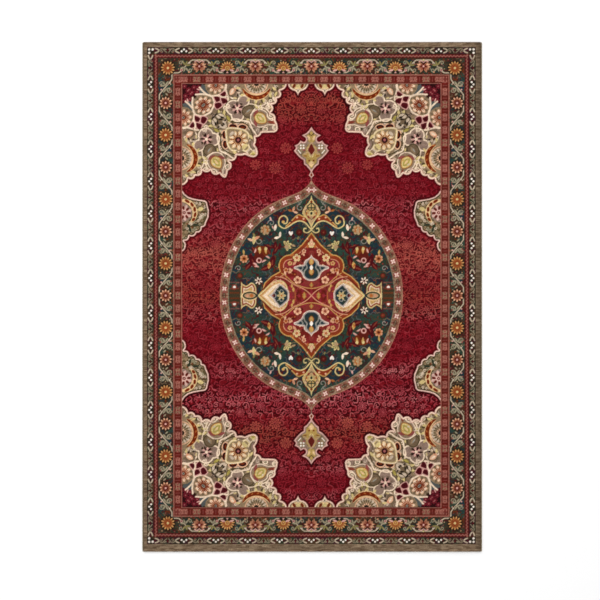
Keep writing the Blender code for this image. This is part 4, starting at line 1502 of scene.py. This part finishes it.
def grow_pile(name, node, rows, cols, material_slot):
    """A closed piece of pile over the knots that belong to a node, inside a window of the lattice."""
    mine = owner[rows, cols] == PARTS.index(node)
    used_rows, used_cols = np.flatnonzero(mine.any(axis=1)), np.flatnonzero(mine.any(axis=0))
    row0, row1 = rows.start + used_rows[0], rows.start + used_rows[-1] + 1
    col0, col1 = cols.start + used_cols[0], cols.start + used_cols[-1] + 1
    mine = owner[row0:row1, col0:col1] == PARTS.index(node)
    tall, wide = mine.shape
    middle = ((lattice_x[col0] + lattice_x[col1]) / 2, (lattice_y[row0] + lattice_y[row1]) / 2, PILE_TOP)
    scale = Matrix.Diagonal((wide * STEP[0], tall * STEP[1], 1.0, 1.0))
    bm = bmesh.new()
    bmesh.ops.create_grid(bm, x_segments=wide, y_segments=tall, size=0.5,
                          matrix=Matrix.Translation(middle) @ scale)
    bm.faces.ensure_lookup_table()
    unwanted = [bm.faces[i] for i in np.flatnonzero(~mine.ravel())]
    bmesh.ops.delete(bm, geom=unwanted, context="FACES")
    rim = [edge for edge in bm.edges if edge.is_boundary]
    walls = bmesh.ops.extrude_edge_only(bm, edges=rim)["geom"]
    foot = [part for part in walls if isinstance(part, bmesh.types.BMVert)]
    for vert in foot:
        vert.co.z = PILE_BOTTOM
    open_edges = [edge for edge in bm.edges if edge.is_boundary]
    bmesh.ops.triangle_fill(bm, edges=open_edges, use_beauty=False, use_dissolve=False)
    bmesh.ops.recalc_face_normals(bm, faces=bm.faces[:])
    mesh = finished_mesh(bm, name)

    spots = np.empty(len(mesh.vertices) * 3)
    mesh.vertices.foreach_get("co", spots)
    spots = spots.reshape(-1, 3)
    columns = np.round((spots[:, 0] - PILE_LOW[0]) / STEP[0]).astype(int).clip(0, KNOTS[0])
    lines = np.round((spots[:, 1] - PILE_LOW[1]) / STEP[1]).astype(int).clip(0, KNOTS[1])
    top = spots[:, 2] > (PILE_TOP + PILE_BOTTOM) / 2
    spots[top, 2] = knot_height[lines, columns][top]
    inner = (columns > 0) & (columns < KNOTS[0]) & (lines > 0) & (lines < KNOTS[1]) & top
    spots[inner, :2] += knot_lean[lines, columns][inner]
    mesh.vertices.foreach_set("co", spots.ravel())
    # Painted shade: the dye attribute carries each knot's colour, and on the walls the darker foot of the
    # pile as well.
    dye = mesh.color_attributes.new("dye", "FLOAT_COLOR", "POINT")
    colours = np.ones((len(spots), 4))
    colours[:, :3] = KNOT_COLOUR[lines, columns]
    colours[~top, :3] *= FOOT_SHADE
    dye.data.foreach_set("color", colours.ravel())

    corners = np.empty(len(mesh.loops), dtype=int)
    mesh.loops.foreach_get("vertex_index", corners)
    flat = mesh.uv_layers.new(name="OFBake")
    low = spots[:, :2].min(axis=0)
    flat.data.foreach_set("uv", ((spots[corners, :2] - low) / np.ptp(spots[:, :2], axis=0).max()).ravel())
    return hand_over(name, mesh, PILE_MATERIAL, node, material_slot)


SLOTS = {"spandrel": "corner_pile", "half_medallion": "corner_pile", "end_palmette": "corner_pile",
         "pendant": "pendant_pile", "medallion_ring": "ring_pile",
         "medallion_ground": "medallion_ground_pile", "medallion_heart": "heart_pile",
         "cartouche": "cartouche_pile", "crown": "gold_pile", "flame": "gold_pile",
         "plain_band": "plain_pile", "outer_guard": "outer_guard_pile", "red_stripe": "red_stripe_pile",
         "main_border": "main_border_pile", "inner_guard": "inner_guard_pile"}
ALL_ROWS, ALL_COLS = slice(0, int(KNOTS[1])), slice(0, int(KNOTS[0]))
pile_pieces = []
for node in PARTS:
    if node == "field_pile":
        continue
    family = next(key for key in SLOTS if node.startswith(key))
    pile_pieces.append(grow_pile(node + "_tufts", node, ALL_ROWS, ALL_COLS, SLOTS[family]))
middle_row, middle_col = int(KNOTS[1]) // 2, int(KNOTS[0]) // 2
ROW_HALVES = {"front": slice(0, middle_row), "back": slice(middle_row, int(KNOTS[1]))}
COLUMN_HALVES = {"left": slice(0, middle_col), "right": slice(middle_col, int(KNOTS[0]))}
for row_name, rows in ROW_HALVES.items():
    for col_name, cols in COLUMN_HALVES.items():
        name = f"field_tufts_{row_name}_{col_name}"
        pile_pieces.append(grow_pile(name, "field_pile", rows, cols, "field_pile"))
faces = sum(len(piece.data.polygons) for piece in pile_pieces)
print(len(pile_pieces), "pieces of pile,", faces, "faces")

# %% [markdown]
# ## Ground weave, back coat and hem tape
# The flat parts under the pile are thin cloth: a plain weave of jute and cotton, the rubbery coat that
# locks the tufts, and a tape under the cut ends. Each is a gridded slab with soft edges, so that the weave
# in its material has a real edge to turn over.

# %% Woven and coated materials
def woven(name, warp_hex, weft_hex, pitch, rough):
    """Plain weave: two sets of threads that pass over and under each other."""
    material, tree = new_material(name)
    place = add(tree, "ShaderNodeTexCoord").outputs["Object"]
    axes = add(tree, "ShaderNodeSeparateXYZ", None, vector=place).outputs
    waves = []
    for axis in ("X", "Y"):
        turns = add(tree, "ShaderNodeMath", {"operation": "MULTIPLY"}, i0=axes[axis],
                    i1=math.pi / (pitch * MM)).outputs[0]
        waves.append(add(tree, "ShaderNodeMath", {"operation": "SINE"}, i0=turns).outputs[0])
    crossing = add(tree, "ShaderNodeMath", {"operation": "MULTIPLY"}, i0=waves[0], i1=waves[1]).outputs[0]
    side_share = add(tree, "ShaderNodeMapRange", None, value=crossing, from_min=-0.3, from_max=0.3).outputs[0]
    fuzz = add(tree, "ShaderNodeTexNoise", None, vector=place, scale=900.0, detail=3.0).outputs[0]
    mix = add(tree, "ShaderNodeMix", {"data_type": "RGBA"}, factor=side_share,
              a=(*to_linear(srgb(warp_hex)), 1.0), b=(*to_linear(srgb(weft_hex)), 1.0))
    shade = add(tree, "ShaderNodeMapRange", None, value=fuzz, from_min=0.3, from_max=0.7, to_min=0.75,
                to_max=1.15).outputs[0]
    colour = add(tree, "ShaderNodeVectorMath", {"operation": "SCALE"}, i0=mix.outputs[2],
                 scale=shade).outputs[0]
    lift = add(tree, "ShaderNodeMath", {"operation": "ABSOLUTE"}, i0=crossing).outputs[0]
    relief = add(tree, "ShaderNodeMath", {"operation": "ADD"}, i0=lift, i1=fuzz).outputs[0]
    bump = add(tree, "ShaderNodeBump", None, strength=0.7, distance=0.0008, height=relief).outputs[0]
    surface = add(tree, "ShaderNodeBsdfPrincipled", None, base_color=colour, roughness=rough, ior=1.5,
                  specular_ior_level=0.2, sheen_weight=0.08, sheen_roughness=0.5, normal=bump)
    add(tree, "ShaderNodeOutputMaterial", None, surface=surface.outputs[0])
    return material


GROUND_MATERIAL = woven("jute_and_cotton_plain_weave", "#a58f70", "#7d6a52", 3.0, 0.9)
TAPE_MATERIAL = woven("cotton_plain_weave_hem_tape", "#6a5a45", "#57493a", 1.5, 0.85)


def latex(name):
    """Synthetic latex coat: a dull, slightly pebbled rubber skin over the back of the weave."""
    material, tree = new_material(name)
    place = add(tree, "ShaderNodeTexCoord").outputs["Object"]
    pebbles = add(tree, "ShaderNodeTexVoronoi", {"feature": "SMOOTH_F1"}, vector=place, scale=1000 / 3.5)
    clouds = add(tree, "ShaderNodeTexNoise", None, vector=place, scale=25.0, detail=4.0).outputs[0]
    colour = add(tree, "ShaderNodeMix", {"data_type": "RGBA"}, factor=clouds,
                 a=(*to_linear(srgb("#b9ab92")), 1.0), b=(*to_linear(srgb("#9a8b72")), 1.0)).outputs[2]
    bump = add(tree, "ShaderNodeBump", None, strength=0.5, distance=0.0006,
               height=pebbles.outputs["Distance"]).outputs[0]
    surface = add(tree, "ShaderNodeBsdfPrincipled", None, base_color=colour, roughness=0.62, ior=1.52,
                  specular_ior_level=0.3, normal=bump)
    add(tree, "ShaderNodeOutputMaterial", None, surface=surface.outputs[0])
    return material


LATEX_MATERIAL = latex("synthetic_latex_back_coat")


# %% Gridded slabs with soft edges
SOFT_EDGE = 0.0004


def cloth_slab(name, node, material, material_slot, cell):
    """A slab that fills a node's box, gridded on both sides, with its rim eased by a small bevel."""
    low, high = (Vector(corner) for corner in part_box(node))
    size = high - low
    middle = (low + high) / 2
    counts = [max(int(round(size[axis] / cell)), 2) for axis in (0, 1)]
    bm = bmesh.new()
    shape = Matrix.Translation((middle.x, middle.y, high.z)) @ Matrix.Diagonal((size.x, size.y, 1.0, 1.0))
    bmesh.ops.create_grid(bm, x_segments=counts[0], y_segments=counts[1], size=0.5, matrix=shape)
    top = bm.faces[:]
    below = bmesh.ops.duplicate(bm, geom=top)["geom"]
    flipped = [part for part in below if isinstance(part, bmesh.types.BMFace)]
    for vert in {vert for face in flipped for vert in face.verts}:
        vert.co.z = low.z
    bmesh.ops.reverse_faces(bm, faces=flipped)
    rims = [edge for edge in bm.edges if edge.is_boundary]
    bmesh.ops.bridge_loops(bm, edges=rims)
    ridge = [edge for edge in bm.edges if len(edge.link_faces) == 2
             and abs(edge.calc_face_angle(0.0)) > 1.0]
    ease = min(0.25 * size.z, SOFT_EDGE)
    bmesh.ops.bevel(bm, geom=ridge, offset=ease, segments=2, profile=0.5, affect="EDGES", material=-1)
    bmesh.ops.recalc_face_normals(bm, faces=bm.faces[:])
    print(name, len(bm.faces), "faces")
    return hand_over(name, finished_mesh(bm, name), material, node, material_slot)


ground_piece = cloth_slab("ground_weave_cloth", "ground_weave", GROUND_MATERIAL, "ground_yarn", 0.03)
coat_piece = cloth_slab("latex_coat_skin", "latex_coat", LATEX_MATERIAL, "latex", 0.03)
tapes = [cloth_slab(f"hem_tape_{end_name}_cloth", f"hem_tape_{end_name}", TAPE_MATERIAL, "hem_tape", 0.01)
         for end_name in ("front", "back")]

# %% [markdown]
# ## Overcast edges
# Along each long side a yarn is wound over a cord, turn against turn. Each turn is one ring of yarn, spun
# from a small oval and copied along the cord. The cord itself shows only at the ends of the winding.

# %% Edge yarn materials
def twisted_yarn(name, main_hex, dark_hex):
    """Plied yarn, with each turn a little lighter or darker than the next."""
    material, tree = new_material(name)
    place = add(tree, "ShaderNodeTexCoord").outputs["Object"]
    turn_tone = add(tree, "ShaderNodeAttribute", {"attribute_name": "turn_tone"}).outputs["Fac"]
    strands = add(tree, "ShaderNodeTexNoise", None, vector=place, scale=1000 / 1.2, detail=3.0).outputs[0]
    tone = add(tree, "ShaderNodeMath", {"operation": "MULTIPLY"}, i0=turn_tone, i1=strands).outputs[0]
    share = add(tree, "ShaderNodeMapRange", None, value=tone, from_min=0.1, from_max=0.55).outputs[0]
    colour = add(tree, "ShaderNodeMix", {"data_type": "RGBA"}, factor=share,
                 a=(*to_linear(srgb(dark_hex)), 1.0), b=(*to_linear(srgb(main_hex)), 1.0)).outputs[2]
    bump = add(tree, "ShaderNodeBump", None, strength=0.6, distance=0.0006, height=strands).outputs[0]
    surface = add(tree, "ShaderNodeBsdfPrincipled", None, base_color=colour, roughness=0.85, ior=1.49,
                  specular_ior_level=0.2, sheen_weight=0.1, sheen_roughness=0.5, normal=bump)
    add(tree, "ShaderNodeOutputMaterial", None, surface=surface.outputs[0])
    return material


SERGING_MATERIAL = twisted_yarn("plied_overcasting_yarn", "#8a7a5e", "#55472f")
CORD_MATERIAL = twisted_yarn("twisted_cotton_edge_cord", "#a38a63", "#6f5a3c")

# %% Overcast turns
TURN_PITCH = 0.005
TURN_SHIFT = 0.0004


def yarn_mesh(bm, name, tones):
    """A smooth mesh that carries a tone for each of its points."""
    mesh = finished_mesh(bm, name)
    attribute = mesh.attributes.new("turn_tone", "FLOAT", "POINT")
    attribute.data.foreach_set("value", tones)
    mesh.polygons.foreach_set("use_smooth", [True] * len(mesh.polygons))
    return mesh


def overcast(side_name):
    """The rings of yarn along one long edge."""
    node = "edge_serging_" + side_name
    low, high = (Vector(corner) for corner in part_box(node))
    radius = (high.x - low.x) / 2
    yarn_half = (0.30 * radius, 0.62 * TURN_PITCH)
    ring = bmesh.new()
    profile = bmesh.ops.create_circle(ring, segments=6, radius=1.0, cap_ends=False)["verts"]
    bmesh.ops.scale(ring, verts=profile, vec=(yarn_half[0], yarn_half[1], 1.0))
    bmesh.ops.translate(ring, verts=profile, vec=(radius - yarn_half[0], 0.0, 0.0))
    bmesh.ops.spin(ring, geom=ring.verts[:] + ring.edges[:], cent=(0, 0, 0), axis=(0, 1, 0), steps=12,
                   angle=math.tau, use_merge=True)
    bmesh.ops.remove_doubles(ring, verts=ring.verts[:], dist=1e-6)
    bmesh.ops.recalc_face_normals(ring, faces=ring.faces[:])
    ring_mesh = finished_mesh(ring, node + "_ring")
    count = int((high.y - low.y - 2 * yarn_half[1]) / TURN_PITCH)
    first = (low.y + high.y) / 2 - (count - 1) * TURN_PITCH / 2
    axis_place = Vector(((low.x + high.x) / 2, 0.0, (low.z + high.z) / 2))
    bm = bmesh.new()
    tones = []
    chance = np.random.default_rng(181)
    for step in range(count):
        made = len(bm.verts)
        bm.from_mesh(ring_mesh)
        bm.verts.ensure_lookup_table()
        place = first + step * TURN_PITCH + chance.uniform(-TURN_SHIFT, TURN_SHIFT)
        bmesh.ops.translate(bm, verts=bm.verts[made:], vec=axis_place + Vector((0.0, place, 0.0)))
        tones += [chance.uniform(0.65, 1.0)] * (len(bm.verts) - made)
    bpy.data.meshes.remove(ring_mesh)
    mesh = yarn_mesh(bm, node + "_yarn", tones)
    print(node, count, "turns,", len(mesh.polygons), "faces")
    return hand_over(node + "_yarn", mesh, SERGING_MATERIAL, node, "serging_yarn")


# %% Edge cords
STRANDS = 3
STRAND_LAY = 0.012
GROOVE = 0.06
CORD_CUTS = 600


def edge_cord(side_name):
    """The cord inside the overcasting."""
    node = "edge_cord_" + side_name
    low, high = (Vector(corner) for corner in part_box(node))
    radius = (high.x - low.x) / 2
    middle = (low + high) / 2
    bm = bmesh.new()
    turn = Matrix.Translation(middle) @ Matrix.Rotation(math.pi / 2, 4, "X")
    bmesh.ops.create_cone(bm, segments=16, radius1=radius, radius2=radius, depth=high.y - low.y,
                          cap_ends=True, matrix=turn)
    rims = [edge for edge in bm.edges if edge.calc_face_angle(0.0) > 1.0]
    bmesh.ops.bevel(bm, geom=rims, offset=0.3 * radius, segments=2, profile=0.5, affect="EDGES", material=-1)
    lines_along = [edge for edge in bm.edges if edge.calc_length() > 1.0]
    bmesh.ops.subdivide_edges(bm, edges=lines_along, cuts=CORD_CUTS, use_grid_fill=True)
    for vert in bm.verts:
        across, up = vert.co.x - middle.x, vert.co.z - middle.z
        twist = STRANDS * math.atan2(up, across) + vert.co.y * math.tau / STRAND_LAY
        share = 1.0 - GROOVE + GROOVE * math.cos(twist)
        vert.co.x = middle.x + across * share
        vert.co.z = middle.z + up * share
    bmesh.ops.recalc_face_normals(bm, faces=bm.faces[:])
    mesh = yarn_mesh(bm, node + "_strands", [0.9] * len(bm.verts))
    print(node, len(mesh.polygons), "faces")
    return hand_over(node + "_strands", mesh, CORD_MATERIAL, node, "edge_cord")


edges = [make(side_name) for side_name in ("left", "right") for make in (overcast, edge_cord)]

# %% [markdown]
# ## The rug as one body
# The ground weave is the cloth that the rug is made of. It was cut to its own size and laid flat, and like
# the pile, the coat, the tapes and the edges it hangs from the rug's one root, so that they all go together.

# %% [markdown]
# ## Floor and light
# A pale seamless floor and broad, soft light from above on all sides keep the shadow around the rug faint,
# and the colours even.

# %% Floor
FLOOR_SIZE = 60.0
bm = bmesh.new()
bmesh.ops.create_grid(bm, x_segments=8, y_segments=8, size=FLOOR_SIZE / 2)
floor_mesh = finished_mesh(bm, "floor")
floor = bpy.data.objects.new("floor", floor_mesh)
bpy.context.scene.collection.objects.link(floor)
floor.location.z = cad_box[0][2] - 0.0002
floor_material, tree = new_material("matt_white_paper_floor")
place = add(tree, "ShaderNodeTexCoord").outputs["Object"]
grain = add(tree, "ShaderNodeTexNoise", None, vector=place, scale=3.0, detail=2.0).outputs[0]
tone = add(tree, "ShaderNodeMapRange", None, value=grain, to_min=0.93, to_max=0.95).outputs[0]
surface = add(tree, "ShaderNodeBsdfPrincipled", None, base_color=tone, roughness=0.9, specular_ior_level=0.1)
add(tree, "ShaderNodeOutputMaterial", None, surface=surface.outputs[0])
floor_mesh.materials.append(floor_material)
print("floor at z =", round(floor.location.z, 4))

# %% Lights
world = bpy.data.worlds.new("studio")
bpy.context.scene.world = world
world.use_nodes = True
world.node_tree.nodes["Background"].inputs["Color"].default_value = (1.0, 1.0, 1.0, 1.0)
world.node_tree.nodes["Background"].inputs["Strength"].default_value = 0.85
SOFTBOX = 5.0
key_data = bpy.data.lights.new("overhead_softbox", "AREA")
key_data.shape = "RECTANGLE"
key_data.size = SOFTBOX
key_data.size_y = SOFTBOX
key_data.energy = 130.0
key = bpy.data.objects.new("overhead_softbox", key_data)
key.location = (-1.2, 1.6, 4.5)
key.rotation_euler = (Vector((0, 0, 0)) - key.location).to_track_quat("-Z", "Y").to_euler()
bpy.context.scene.collection.objects.link(key)
bpy.context.scene.view_settings.view_transform = "Standard"
print("lights ready")
